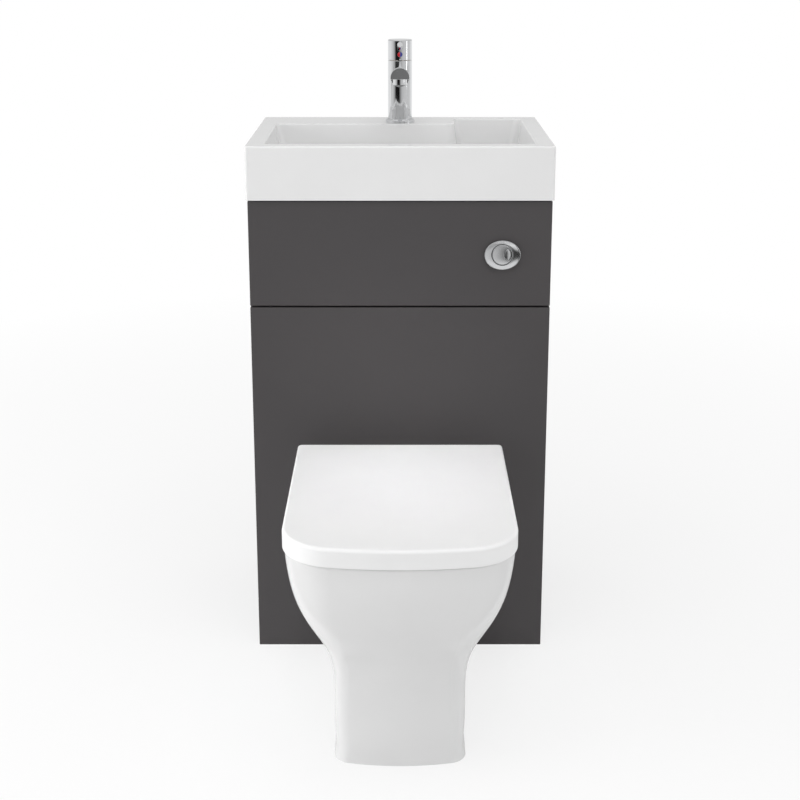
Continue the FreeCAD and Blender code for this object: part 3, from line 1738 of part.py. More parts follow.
def lens(name, gap, front, length):
    """A lens-shaped bar that runs to the wall: two equal arcs, grown by a gap."""
    half_width, half_height = s.small_button_width / 2, s.small_button_height / 2
    bend = Size(
        (float(half_height) ** 2 + float(half_width) ** 2) / (2 * float(half_width)),
        f"(({half_height.formula})^2 + ({half_width.formula})^2) / (2 * {half_width.formula})",
    )
    shift = bend - half_width
    x = button_offset + s.small_button_offset
    left = rod(f"{name}_left", bend + gap, length, (x - shift, front, button_level), TO_WALL)
    right = rod(f"{name}_right", bend + gap, length, (x + shift, front, button_level), TO_WALL)
    return common(name, left, right)


# Toilet pan: sections from the floor to the rim, as shares of the rim's height, half-width and reach,
# with each section's front corner radius as a share of its own half-width
pan_section_shares = [
    (0.0, 0.604, 0.794, 0.28),
    (0.17, 0.594, 0.790, 0.28),
    (0.335, 0.595, 0.793, 0.29),
    (0.44, 0.622, 0.808, 0.33),
    (0.545, 0.709, 0.848, 0.38),
    (0.65, 0.825, 0.902, 0.42),
    (0.76, 0.915, 0.953, 0.45),
    (0.88, 0.972, 0.985, 0.47),
    (1.0, 1.0, 1.0, 0.483),
]
pan_crown_share = 3.7
# The bowl from its mouth down to the sump: level as a share of the height between them, then half-width,
# back and front as shares of the mouth's, and the corners as a share of the mouth's
bowl_section_shares = [
    (1.0, 1.0, 1.0, 1.0, 1.0),
    (0.74, 0.93, 1.03, 0.975, 0.95),
    (0.5, 0.72, 1.16, 0.89, 0.8),
    (0.28, 0.46, 1.26, 0.78, 0.52),
    (0.0, 0.33, 1.30, 0.70, 0.36),
]


def pan_outline(name, shares):
    height, width, reach, corner = shares
    half = s.pan_half_width * width
    return seat_outline(
        name,
        s.pan_height * height,
        half,
        ahead(0 * s.board),
        ahead(s.pan_reach * reach),
        half * corner,
        half * pan_crown_share,
        s.pan_rear_corner,
    )


def bowl_section(name, shares):
    height, width, back, front, corner = shares
    level = s.sump_level + (s.pan_height + s.cut_overrun - s.sump_level) * height
    return seat_outline(
        name,
        level,
        bowl_mouth_half_width * width,
        ahead(s.bowl_mouth_back * back),
        ahead(bowl_mouth_front * front),
        s.bowl_mouth_corner * corner,
        s.bowl_mouth_crown * corner,
        s.bowl_mouth_rear_corner * corner,
    )


def make_pan():
    sections = [pan_outline(f"pan_section_{i}", row) for i, row in enumerate(pan_section_shares)]
    outside = rounded("pan_outside", lofted("pan_sides", sections), s.pan_edge, at_level(s.pan_height))
    spigot = rod(
        "pan_spigot",
        s.soil_radius,
        s.soil_projection + s.pan_wall,
        (0, ahead(s.pan_wall), s.soil_level),
        TO_WALL,
    )
    bowl = lofted(
        "pan_bowl", [bowl_section(f"bowl_section_{i}", row) for i, row in enumerate(bowl_section_shares)]
    )
    body = cut(
        "pan_body", fuse("pan_cast", outside, spigot), bowl, *pan_passages(), *pan_recesses(), *pan_holes()
    )
    node(body, "toilet_pan")


def sump_middle():
    """How far the middle of the sump is ahead of the cabinet."""
    height, width, back, front, corner = bowl_section_shares[-1]
    return (s.bowl_mouth_back * back + bowl_mouth_front * front) / 2


def pan_passages():
    out = s.trap_way_bend + s.soil_projection
    points = [
        (0, ahead(sump_middle()), s.trap_way_dip_level),
        (0, ahead(s.trap_way_dip), s.trap_way_dip_level),
        (0, ahead(s.trap_way_weir), s.trap_way_weir_level),
        (0, ahead(s.trap_way_fall), s.soil_level),
        (0, ahead(-out), s.soil_level),
    ]
    path = pipe_path("trap_way_path", points, s.trap_way_bend)
    trap_way = swept("trap_way", path, s.trap_way_radius, points[0], TO_WALL)
    outlet = rod(
        "pan_outlet_bore",
        s.soil_radius - s.soil_wall,
        s.soil_projection * 2,
        (0, ahead(s.soil_projection / 2), s.soil_level),
        TO_WALL,
    )
    bore_length = s.bowl_mouth_back + s.pan_wall
    inlet = rod(
        "pan_inlet_bore", s.inlet_bore, bore_length, (0, ahead(s.inlet_boss_back), inlet_level), TO_FRONT
    )
    socket = rod(
        "pan_inlet_socket",
        s.inlet_socket_radius,
        s.inlet_socket_depth,
        (0, ahead(0 * s.board), inlet_level),
        TO_FRONT,
    )
    return [trap_way, outlet, inlet, socket]


def pan_recesses():
    """Hollows under the foot and behind the bowl, where the casting is open to floor and wall."""
    foot = seat_outline(
        "foot_recess_plan",
        -s.cut_overrun,
        s.pan_half_width * pan_section_shares[0][1] - s.pan_wall,
        ahead(s.pan_wall),
        ahead(s.pan_reach * pan_section_shares[0][2] - s.pan_wall),
        s.pan_wall,
        s.pan_half_width * pan_crown_share,
        s.pan_wall / 2,
    )
    recesses = [raised("foot_recess", foot, s.foot_recess_height + s.cut_overrun)]
    for side, sign in (("left", -1), ("right", 1)):
        outer = foot_side() - s.foot_side_recess_wall
        inner = outer - s.foot_side_recess_width
        x = (-outer, -inner) if sign < 0 else (inner, outer)
        front = s.pan_reach * pan_section_shares[0][2] - s.foot_side_recess_front_wall
        y = (ahead(front), ahead(s.foot_side_recess_back))
        recesses.append(block(f"foot_recess_{side}", x, y, (0, s.foot_side_recess_height)))
    top = s.pan_height - s.deck_thickness
    half = s.pan_half_width - s.deck_side_wall
    room = block(
        "deck_room",
        (-half, half),
        (ahead(s.deck_recess_depth), ahead(-s.cut_overrun)),
        (s.pan_height - s.deck_recess_drop, top),
    )
    boss_length = s.deck_recess_depth * 2
    boss = rod(
        "deck_inlet_boss",
        s.inlet_boss_radius,
        boss_length,
        (0, ahead(s.inlet_boss_back), inlet_level),
        TO_FRONT,
    )
    recesses.append(cut("deck_recess", room, boss))
    return recesses


def pan_holes():
    holes = []
    for side, sign in (("left", -1), ("right", 1)):
        x = s.hinge_spacing / 2 * sign
        start = s.pan_height - s.deck_thickness * 3 / 2
        holes.append(
            rod(
                f"seat_bolt_hole_{side}",
                s.bolt_hole_radius,
                s.deck_thickness * 2,
                (x, ahead(s.hinge_ahead), start),
            )
        )
    foot = s.pan_half_width
    across = rod(
        "foot_screw_hole",
        s.foot_screw_radius,
        foot * 2,
        (-foot, ahead(s.foot_screw_behind), s.foot_screw_level),
        TO_RIGHT,
    )
    holes.append(across)
    return holes


def foot_side():
    return s.pan_half_width * pan_section_shares[0][1]


def make_pan_fixings():
    brackets, screws = [], []
    y = ahead(s.foot_screw_behind)
    inner = foot_side() - s.pan_wall
    for side, sign in (("left", -1), ("right", 1)):
        near, far = (inner - s.foot_bracket_width) * sign, inner * sign
        x = (far, near) if sign < 0 else (near, far)
        half = s.foot_bracket_length / 2
        body = block(f"foot_bracket_{side}", x, (y - half, y + half), (0, s.foot_bracket_height))
        middle = (inner - s.foot_bracket_width / 2) * sign
        floor_hole = rod(
            f"foot_bracket_hole_{side}",
            s.foot_bracket_hole_radius,
            s.foot_bracket_height * 2,
            (middle, y - half / 2, -s.foot_bracket_height / 2),
        )
        screw_x = (inner - s.foot_bracket_width) * sign if sign > 0 else far - s.cut_overrun
        screw_hole = rod(
            f"foot_bracket_screw_hole_{side}",
            s.foot_screw_radius,
            s.foot_bracket_width + s.cut_overrun,
            (screw_x, y, s.foot_screw_level),
            TO_RIGHT,
        )
        brackets.append(cut(f"foot_bracket_drilled_{side}", body, floor_hole, screw_hole))
        screws.append(foot_screw(f"foot_screw_{side}", sign, y))
    node(fuse("foot_brackets", *brackets), "pan_floor_brackets")
    node(fuse("foot_screws", *screws), "pan_side_screws")


def foot_screw(name, sign, y):
    """A side screw through the foot's wall into its bracket, with a domed cap outside."""
    length = s.pan_wall + s.foot_bracket_width * 3 / 4
    turn = TO_RIGHT if sign < 0 else Rotation(Vector(0, 1, 0), -90)
    radius, proud = s.foot_screw_radius, s.foot_cap_height
    corners = [
        (0, -proud * 3 / 2),
        (s.foot_cap_radius / 2, -proud * 5 / 4),
        (s.foot_cap_radius, -proud / 2),
        (s.foot_cap_radius, 0),
        (radius, 0),
        (radius, length),
        (0, length),
    ]
    return turned(name, corners, (foot_side() * sign, y, s.foot_screw_level), turn)


def make_connector():
    """The soil pipe connector between the pan's spigot and the wall."""
    mouth = -s.cabinet_depth + s.soil_projection / 2
    sleeve_bore = s.connector_sleeve_radius - s.connector_wall
    corners = [
        (sleeve_bore, 0),
        (s.connector_sleeve_radius, 0),
        (s.connector_sleeve_radius, s.connector_sleeve_length),
        (s.connector_radius, s.connector_sleeve_length + s.connector_wall * 2),
        (s.connector_radius, -mouth),
        (s.connector_radius - s.connector_wall, -mouth),
        (s.connector_radius - s.connector_wall, s.connector_sleeve_length),
        (sleeve_bore, s.connector_sleeve_length - s.connector_wall),
    ]
    node(turned("connector", corners, (0, mouth, s.soil_level), TO_WALL), "pan_connector")
    bore, fin = s.soil_radius, s.connector_seal_height / 4
    seal = [
        (bore, 0),
        (sleeve_bore, 0),
        (sleeve_bore, s.connector_seal_height),
        (bore, s.connector_seal_height),
        (bore, s.connector_seal_height - fin),
        ((bore + sleeve_bore) / 2, s.connector_seal_height - fin),
        ((bore + sleeve_bore) / 2, fin),
        (bore, fin),
    ]
    spigot_seal = turned("connector_seal", seal, (0, mouth, s.soil_level), TO_WALL)
    node(fuse("pan_seal_pair", spigot_seal, flush_cone_seal()), "pan_seals")


# Seat ring, lid and their hinges


def hinge_place(x):
    return (x, ahead(s.hinge_ahead), s.pan_height + s.hinge_level)


def both_sides(name, low, high, make):
    """One copy on each side; low and high are the distances of its ends from the middle."""
    return [make(f"{name}_left", (-high, -low)), make(f"{name}_right", (low, high))]


def hinge_bar(radius):
    def make(name, x):
        return rod(name, radius, x[1] - x[0], hinge_place(x[0]), TO_RIGHT)

    return make


def make_seat():
    bottom = s.pan_height + s.seat_gap
    post_gap = s.post_radius + s.hinge_side_gap
    middle = s.hinge_spacing / 2
    notch_inner = middle - post_gap
    lid_knuckle = (middle + post_gap, middle + post_gap + s.lid_knuckle_length)
    make_lid(bottom, lid_knuckle)
    make_ring(bottom, notch_inner, lid_knuckle[1] + s.hinge_side_gap)
    make_hinges()
    make_buffers(bottom)


def make_lid(bottom, knuckle_span):
    plan = seat_outline(
        "lid_plan",
        bottom,
        seat_half_width,
        ahead(s.seat_back),
        ahead(seat_front),
        s.seat_corner,
        s.seat_crown,
        s.seat_rear_corner,
    )
    blank = raised("lid_blank", plan, s.seat_thickness)
    eased = rounded("lid_eased", blank, s.seat_edge, at_level(bottom + s.seat_thickness))
    inset = s.lid_skirt
    room_plan = seat_outline(
        "lid_room_plan",
        bottom - s.cut_overrun,
        seat_half_width - inset,
        ahead(s.seat_back - s.lid_rear_relief * 2),
        ahead(seat_front - inset),
        s.seat_corner - inset,
        s.seat_crown - inset,
        s.seat_rear_corner - inset,
    )
    room = raised("lid_room", room_plan, s.seat_thickness - s.lid_plate + s.cut_overrun)
    wide = (-seat_half_width - s.cut_overrun, seat_half_width + s.cut_overrun)
    relief_y = (ahead(s.seat_back + s.lid_rear_relief), ahead(s.seat_back - s.lid_rear_relief))
    relief = block(
        "lid_relief", wide, relief_y, (bottom - s.cut_overrun, bottom + s.lid_rear_relief_height)
    )
    shell = cut("lid_shell", eased, room, relief)

    barrels = both_sides("lid_knuckle", *knuckle_span, hinge_bar(s.knuckle_radius))
    radius = s.knuckle_radius
    web_y = (ahead(s.hinge_ahead + radius), ahead(s.hinge_ahead - radius))
    web_z = (s.pan_height + s.hinge_level, bottom + s.seat_thickness - s.lid_plate / 2)
    webs = both_sides("lid_web", *knuckle_span, lambda name, x: block(name, x, web_y, web_z))
    bore = hinge_bar(s.hinge_pin_radius + s.running_clearance)
    bores = both_sides(
        "lid_bore", knuckle_span[0] - s.cut_overrun, s.hinge_pin_outer + s.hinge_side_gap / 2, bore
    )
    node(cut("lid", fuse("lid_moulding", shell, *barrels, *webs), *bores), "seat_lid")


def make_ring(bottom, notch_inner, notch_outer):
    inset = s.lid_skirt + s.ring_clearance
    half, front = seat_half_width - inset, seat_front - inset
    plan = seat_outline(
        "ring_plan",
        bottom,
        half,
        ahead(s.ring_back),
        ahead(front),
        s.seat_corner - inset,
        s.seat_crown - inset,
        s.seat_rear_corner - inset / 2,
    )
    blank = raised("ring_blank", plan, s.ring_thickness)
    eased = rounded("ring_eased", blank, s.ring_edge, at_level(bottom + s.ring_thickness))
    hole_plan = ring_hole("ring_hole_plan", bottom - s.cut_overrun, 0 * s.ring_shell)
    hole = raised("ring_hole", hole_plan, s.ring_thickness * 2)
    wall = s.ring_shell
    under_plan = seat_outline(
        "ring_under_plan",
        bottom - s.cut_overrun,
        half - wall,
        ahead(s.ring_notch_front + wall),
        ahead(front - wall),
        s.seat_corner - inset - wall,
        s.seat_crown - inset - wall,
        s.ring_edge,
    )
    under = raised("ring_under", under_plan, s.ring_thickness - wall + s.cut_overrun)
    inner_wall = raised(
        "ring_inner_wall",
        ring_hole("ring_inner_wall_plan", bottom - s.cut_overrun * 2, wall),
        s.ring_thickness * 2,
    )
    notch_y = (ahead(s.ring_notch_front), ahead(s.ring_back - s.cut_overrun * 2))
    notch_z = (bottom - s.cut_overrun, bottom + s.ring_thickness + s.cut_overrun)
    notches = both_sides(
        "ring_notch", notch_inner, notch_outer, lambda name, x: block(name, x, notch_y, notch_z)
    )
    moulding = cut("ring_moulding", eased, hole, cut("ring_under_room", under, inner_wall), *notches)
    knuckles = both_sides(
        "ring_knuckle", notch_inner - s.ring_knuckle_length, notch_inner, hinge_bar(s.knuckle_radius)
    )
    bore = hinge_bar(s.hinge_pin_radius + s.running_clearance)
    bores = both_sides(
        "ring_bore", s.hinge_pin_inner - s.hinge_side_gap / 2, notch_inner + s.cut_overrun, bore
    )
    node(cut("ring", fuse("ring_with_knuckles", moulding, *knuckles), *bores), "seat_ring")


def ring_hole_back():
    return s.bowl_mouth_back + s.ring_back_lip


def ring_hole(name, level, grow):
    return seat_outline(
        name,
        level,
        bowl_mouth_half_width - s.ring_lip + grow,
        ahead(ring_hole_back() - grow),
        ahead(bowl_mouth_front - s.ring_front_lip + grow),
        s.ring_hole_corner + grow,
        s.ring_hole_crown + grow,
        s.ring_hole_rear_corner + grow,
    )


def make_hinges():
    radius, deck = s.post_radius, s.pan_height
    middle = s.hinge_spacing / 2
    y = (ahead(s.hinge_ahead + radius - s.hinge_side_gap), ahead(s.hinge_ahead - radius + s.hinge_side_gap))
    posts, nuts = [], []
    head = hinge_bar(s.knuckle_radius)
    span = (middle - radius, middle + radius)
    heads = both_sides("post_head", *span, head)
    stems = both_sides("post_stem", *span, lambda name, x: block(name, x, y, (deck, deck + s.hinge_level)))
    pins = both_sides("hinge_pin", s.hinge_pin_inner, s.hinge_pin_outer, hinge_bar(s.hinge_pin_radius))
    for i, (side, sign) in enumerate((("left", -1), ("right", 1))):
        x = middle * sign
        foot = deck - s.post_stud_length
        stud = rod(
            f"post_stud_{side}", s.post_stud_radius, s.post_stud_length, (x, ahead(s.hinge_ahead), foot)
        )
        posts += [heads[i], stems[i], stud, pins[i]]
        under = deck - s.deck_thickness
        seal_at = (x, ahead(s.hinge_ahead), under - s.bolt_seal_height)
        seal = turned(
            f"bolt_seal_{side}",
            tube_corners(s.post_stud_radius, s.bolt_seal_radius, 0, s.bolt_seal_height),
            seal_at,
        )
        nut_at = (x, ahead(s.hinge_ahead), under - s.bolt_seal_height - s.bolt_nut_height)
        nut = hexagon(f"bolt_nut_blank_{side}", s.bolt_nut_radius, s.bolt_nut_height, nut_at)
        nut_bore = rod(
            f"bolt_nut_bore_{side}",
            s.post_stud_radius,
            s.bolt_nut_height * 2,
            (x, ahead(s.hinge_ahead), under - s.bolt_nut_height * 2),
        )
        nuts.append(cut(f"bolt_nut_{side}", nut, nut_bore))
        nuts.append(seal)
    node(fuse("posts", *posts), "hinge_posts")
    node(fuse("bolt_nuts", *nuts), "hinge_bolt_nuts")


def make_buffers(bottom):
    """Rubber pads under the ring, on the pan, and under the lid, on the ring."""
    inset = s.lid_skirt + s.ring_clearance
    ring_x = (seat_half_width - inset) * s.buffer_side_share
    half_x, half_y = s.buffer_width / 2, s.buffer_length / 2
    front_y, rear_y = ahead(seat_front - s.buffer_front), ahead(ring_hole_back() + s.buffer_length)
    ring_roof = bottom + s.ring_thickness - s.ring_shell
    low = s.pan_height + s.buffer_gap
    pads = []
    for i, y in enumerate((front_y, rear_y)):
        span = (ring_x - half_x, ring_x + half_x)
        pads += both_sides(
            f"ring_buffer_{i}",
            *span,
            lambda name,
            x: block(name, x, (y - half_y, y + half_y), (low, ring_roof)),
        )
    node(fuse("ring_buffers", *pads), "seat_ring_buffers")

    lid_low = bottom + s.ring_thickness + s.buffer_gap
    lid_roof = bottom + s.seat_thickness - s.lid_plate
    span = (ring_x - half_x, ring_x + half_x)
    y = (front_y - half_y, front_y + half_y)
    lid_pads = both_sides("lid_buffer", *span, lambda name, x: block(name, x, y, (lid_low, lid_roof)))
    node(fuse("lid_buffers", *lid_pads), "seat_lid_buffers")


make_carcass()
make_fronts()
make_cabinet_fittings()
make_basin()
make_overflow_ring()
make_waste()
make_tap()
make_cistern()
make_flush_button()
make_pan()
make_pan_fixings()
make_connector()
make_seat()
document.recompute()

# Check every object and sub-part before anything is written

for item in document.Objects:
    if "Invalid" in item.State or "Error" in item.State:
        raise RuntimeError(f"{item.Name} did not compute: {item.State}")
for piece in nodes:
    if piece.Shape.isNull() or not piece.Shape.isValid() or not piece.Shape.Solids:
        raise RuntimeError(f"{piece.Label} has no valid solid")

os.makedirs("parts", exist_ok=True)
for piece in nodes:
    piece.Shape.exportStep(f"parts/{piece.Label}.step")
    print(piece.Label, len(piece.Shape.Solids), round(piece.Shape.Volume / 1000, 1))
print(len(nodes), "nodes")
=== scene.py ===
import json
import math

import bmesh
import bpy
from mathutils import Matrix, Vector


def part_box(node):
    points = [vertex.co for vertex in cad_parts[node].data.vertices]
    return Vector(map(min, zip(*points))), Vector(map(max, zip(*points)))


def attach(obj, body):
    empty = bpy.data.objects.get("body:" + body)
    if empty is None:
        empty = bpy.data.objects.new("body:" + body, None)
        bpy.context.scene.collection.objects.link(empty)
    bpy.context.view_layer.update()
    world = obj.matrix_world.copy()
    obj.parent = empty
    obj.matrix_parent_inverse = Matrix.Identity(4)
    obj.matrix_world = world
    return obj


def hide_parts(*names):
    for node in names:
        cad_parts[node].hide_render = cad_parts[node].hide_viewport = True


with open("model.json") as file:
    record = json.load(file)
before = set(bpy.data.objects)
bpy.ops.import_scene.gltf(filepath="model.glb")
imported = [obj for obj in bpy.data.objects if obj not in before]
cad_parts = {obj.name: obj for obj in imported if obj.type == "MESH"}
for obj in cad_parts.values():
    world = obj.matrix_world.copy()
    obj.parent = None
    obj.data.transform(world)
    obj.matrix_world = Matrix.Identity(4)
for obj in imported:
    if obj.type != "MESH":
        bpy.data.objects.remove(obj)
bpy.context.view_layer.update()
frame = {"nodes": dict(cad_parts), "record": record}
print("frame loaded with", len(frame["nodes"]), "nodes")


# Shader nodes in plain Python: sums by operators, every other node by one method

class Wire:
    def __init__(self, board, socket):
        self.board = board
        self.socket = socket

    def sums(self, operation, first, second):
        return self.board.node("ShaderNodeMath", {"operation": operation}, {0: first, 1: second})

    def __add__(self, other):
        return self.sums("ADD", self, other)

    def __radd__(self, other):
        return self.sums("ADD", other, self)

    def __sub__(self, other):
        return self.sums("SUBTRACT", self, other)

    def __rsub__(self, other):
        return self.sums("SUBTRACT", other, self)

    def __mul__(self, other):
        return self.sums("MULTIPLY", self, other)

    def __rmul__(self, other):
        return self.sums("MULTIPLY", other, self)

    def __truediv__(self, other):
        return self.sums("DIVIDE", self, other)

    def __rtruediv__(self, other):
        return self.sums("DIVIDE", other, self)

    def __neg__(self):
        return self.sums("MULTIPLY", self, -1.0)


class Board:
    def __init__(self, tree):
        self.tree = tree
        self.tree.nodes.clear()

    # a wire is linked, a list of wires goes into one socket, and anything else is the socket's own value
    def feed(self, socket, value):
        if isinstance(value, Wire):
            self.tree.links.new(value.socket, socket)
        elif isinstance(value, list):
            for wire in value:
                self.feed(socket, wire)
        else:
            socket.default_value = value

    def node(self, kind, settings=None, inputs=None, output=0):
        made = self.tree.nodes.new(kind)
        for name, value in (settings or {}).items():
            if name == "stops":
                self.setStops(made.color_ramp.elements, value)
            else:
                setattr(made, name, value)
        for key, value in (inputs or {}).items():
            self.feed(made.inputs[key], value)
        return Wire(self, made.outputs[output])

    def setStops(self, elements, stops):
        while len(elements) < len(stops):
            elements.new(0.5)
        for element, (place, grey) in zip(elements, stops):
            element.position = place
            element.color = (grey, grey, grey, 1)

    def ramp(self, amount, stops):
        return self.node("ShaderNodeValToRGB", {"stops": stops}, {0: amount})

    def mixed(self, amount, first, second):
        return self.node("ShaderNodeMixShader", {}, {0: amount, 1: first, 2: second})

    def rays(self, name):
        return self.node("ShaderNodeLightPath", output=name)

    def parts(self, vector):
        return [self.node("ShaderNodeSeparateXYZ", {}, {0: vector}, output=axis) for axis in "XYZ"]

    def places(self):
        return self.node("ShaderNodeTexCoord", output="Object")


socketNames = {
    "baseColour": "Base Color", "roughness": "Roughness", "metallic": "Metallic", "ior": "IOR",
    "specular": "Specular IOR Level", "coatWeight": "Coat Weight", "coatRoughness": "Coat Roughness",
}


class Finish(Board):
    def __init__(self, name, **principled):
        self.material = bpy.data.materials.new(name)
        self.material.use_nodes = True
        super().__init__(self.material.node_tree)
        self.shader = self.tree.nodes.new("ShaderNodeBsdfPrincipled")
        self.output = self.tree.nodes.new("ShaderNodeOutputMaterial")
        self.tree.links.new(self.shader.outputs[0], self.output.inputs[0])
        for key, value in principled.items():
            self.put(key, value)

    def put(self, key, value):
        self.feed(self.shader.inputs[socketNames[key]], value)

    def noise(self, scale, detail, roughness, stretch=None):
        spot = self.places()
        if stretch:
            spot = self.node("ShaderNodeMapping", {}, {0: spot, "Scale": stretch})
        inputs = {"Vector": spot, "Scale": scale, "Detail": detail, "Roughness": roughness}
        return self.node("ShaderNodeTexNoise", {}, inputs)

    # base colour: the first colour where the amount is 0, the second where it is 1
    def tint(self, amount, first, second):
        inputs = {"Factor": amount, 6: colour(*first), 7: colour(*second)}
        self.put("baseColour", self.node("ShaderNodeMix", {"data_type": "RGBA"}, inputs, output=2))

    def bump(self, height, strength, distance):
        inputs = {"Height": height, "Strength": strength, "Distance": distance}
        self.feed(self.shader.inputs["Normal"], self.node("ShaderNodeBump", {}, inputs))


def linear(value):
    # a level from 0 to 255 as the screen shows it, made linear; the finishes use none below 11
    return ((value / 255 + 0.055) / 1.055) ** 2.4


def colour(red, green, blue):
    return (linear(red), linear(green), linear(blue), 1.0)


# Finishes: a noise is (scale, detail, roughness), a bump (strength, metres); dulling adds to the roughness

# Glazed ceramic: white, with a soft mottle in the gloss and a faint orange peel

ceramicLook = {
    "body": (231, 231, 231), "shade": (225, 225, 225), "rough": 0.10, "ior": 1.5,
    "coatWeight": 0.35, "coatRoughness": 0.04,
    "mottle": (9.0, 3.0, 0.55), "dulling": 0.06, "peel": (55.0, 1.0, 0.4), "bump": (0.04, 0.0006),
}


def makeCeramic():
    look = ceramicLook
    coat = {key: look[key] for key in ("coatWeight", "coatRoughness", "ior")}
    finish = Finish("glazedCeramic", **coat)
    mottle = finish.noise(*look["mottle"])
    finish.tint(mottle, look["shade"], look["body"])
    finish.put("roughness", look["rough"] + mottle * look["dulling"])
    finish.bump(finish.noise(*look["peel"]), *look["bump"])
    return finish.material


# Seat plastic: a brighter white than the pan, with a soft moulded gloss

seatLook = {
    "body": (241, 241, 241), "shade": (236, 236, 236), "rough": 0.28, "ior": 1.5, "specular": 0.4,
    "drift": (14.0, 2.0, 0.5), "haze": (3.0, 1.0, 0.5), "dulling": 0.03,
    "grain": (420.0, 1.0, 0.5), "bump": (0.02, 0.0002),
}


def makeSeatPlastic():
    look = seatLook
    finish = Finish("seatPlastic", ior=look["ior"], specular=look["specular"])
    finish.tint(finish.noise(*look["drift"]), look["shade"], look["body"])
    finish.put("roughness", look["rough"] + finish.noise(*look["haze"]) * look["dulling"])
    finish.bump(finish.noise(*look["grain"]), *look["bump"])
    return finish.material


# Matt lacquer on the cabinet's boards: warm dark grey, with the spray's fine texture and a faint drift

lacquerLook = {
    "body": (76, 73, 74), "shade": (70, 68, 69), "rough": 0.52, "ior": 1.45, "specular": 0.35,
    "drift": (3.5, 3.0, 0.55), "driftDulling": 0.06,
    "spray": (900.0, 2.0, 0.6), "sprayDulling": 0.04, "bump": (0.12, 0.0002),
}


def makeLacquer():
    look = lacquerLook
    finish = Finish("darkGreyLacquer", ior=look["ior"], specular=look["specular"])
    drift = finish.noise(*look["drift"])
    spray = finish.noise(*look["spray"])
    finish.tint(drift, look["shade"], look["body"])
    finish.put("roughness", look["rough"] + drift * look["driftDulling"] + spray * look["sprayDulling"])
    finish.bump(spray, *look["bump"])
    return finish.material


# Inner boards: a thin grey foil, with the chipboard's flakes showing faintly through it

foilLook = {
    "body": (80, 78, 78), "shade": (70, 68, 68), "rough": 0.62, "specular": 0.3,
    "drift": (5.0, 3.0, 0.5), "flakes": 260.0, "bump": (0.05, 0.0003),
}


def makeCarcassFoil():
    look = foilLook
    finish = Finish("carcassFoil", specular=look["specular"], roughness=look["rough"])
    cells = {"Vector": finish.places(), "Scale": look["flakes"]}
    flakes = finish.node("ShaderNodeTexVoronoi", {"feature": "F1"}, cells, output="Distance")
    finish.tint(finish.noise(*look["drift"]), look["shade"], look["body"])
    finish.bump(flakes, *look["bump"])
    return finish.material


# Chrome: bright plate over brass, with polishing haze

chromeLook = {
    "body": (226, 227, 228), "shade": (214, 215, 217), "polished": 0.04, "satin": 0.20,
    "haze": (60.0, 3.0, 0.6), "dulling": 0.04,
}


def makeChrome(name, rough):
    look = chromeLook
    finish = Finish(name, metallic=1.0)
    haze = finish.noise(*look["haze"])
    finish.tint(haze, look["shade"], look["body"])
    finish.put("roughness", rough + haze * look["dulling"])
    return finish.material


# Moulded plastic of the cistern, trap and pipes: a slow drift in colour and gloss, and a fine grain

plasticLook = {
    "ior": 1.48, "specular": 0.4, "drift": (22.0, 2.0, 0.5), "dulling": 0.08,
    "grain": (700.0, 2.0, 0.5), "bump": (0.10, 0.0002),
}


def makePlastic(name, body, shade, rough):
    look = plasticLook
    finish = Finish(name, ior=look["ior"], specular=look["specular"])
    drift = finish.noise(*look["drift"])
    finish.tint(drift, shade, body)
    finish.put("roughness", rough + drift * look["dulling"])
    finish.bump(finish.noise(*look["grain"]), *look["bump"])
    return finish.material


# Rubber of the seals and buffers: dull, with a little dust

rubberLook = {
    "rough": 0.72, "specular": 0.3, "dust": (90.0, 3.0, 0.6), "dulling": 0.12, "bump": (0.15, 0.0003),
}


def makeRubber(name, body, shade):
    look = rubberLook
    finish = Finish(name, specular=look["specular"])
    dust = finish.noise(*look["dust"])
    finish.tint(dust, shade, body)
    finish.put("roughness", look["rough"] + dust * look["dulling"])
    finish.bump(dust, *look["bump"])
    return finish.material


# Turned and plated metal: fine lines across the height

turnedLook = {"lines": (60.0, 2.0, 0.5), "stretch": (1.0, 1.0, 30.0), "dulling": 0.15, "bump": (0.06, 0.0002)}


def makeTurnedMetal(name, body, shade, rough):
    look = turnedLook
    finish = Finish(name, metallic=1.0)
    lines = finish.noise(*look["lines"], stretch=look["stretch"])
    finish.tint(lines, shade, body)
    finish.put("roughness", rough + lines * look["dulling"])
    finish.bump(lines, *look["bump"])
    return finish.material


# Index plug: red on the left half and blue on the right, under clear resin

indexLook = {
    "left": (196, 38, 46), "right": (52, 66, 150), "seam": 0.0004, "rough": 0.12,
    "coatWeight": 0.5, "coatRoughness": 0.05,
}


def makeIndexPlug():
    look = indexLook
    coat = {key: look[key] for key in ("coatWeight", "coatRoughness")}
    finish = Finish("indexPlug", roughness=look["rough"], **coat)
    across = finish.parts(finish.places())[0]
    side = finish.node("ShaderNodeClamp", {}, {0: (across + look["seam"] / 2) / look["seam"]})
    finish.tint(side, look["left"], look["right"])
    return finish.material


finishes = {
    "cabinet_board": makeLacquer(),
    "ceramic": makeCeramic(),
    "seat_plastic": makeSeatPlastic(),
    "chrome": makeChrome("polishedChrome", chromeLook["polished"]),
    "white_plastic": makePlastic("whitePlastic", (226, 228, 228), (214, 216, 217), 0.36),
    "grey_plastic": makePlastic("greyPlastic", (150, 152, 154), (138, 140, 143), 0.42),
    "rubber": makeRubber("blackRubber", (46, 46, 47), (30, 30, 31)),
    "brass": makeTurnedMetal("turnedBrass", (214, 176, 104), (190, 152, 84), 0.28),
    "steel": makeTurnedMetal("zincSteel", (188, 190, 194), (160, 163, 168), 0.34),
    "index_plug": makeIndexPlug(),
}
satinChrome = makeChrome("satinChrome", chromeLook["satin"])
carcassFoil = makeCarcassFoil()
paleRubber = makeRubber("paleRubber", (206, 207, 206), (192, 193, 192))
slotOfNode = {row["node"]: row["material_slot"] for row in frame["record"]["subparts"]}
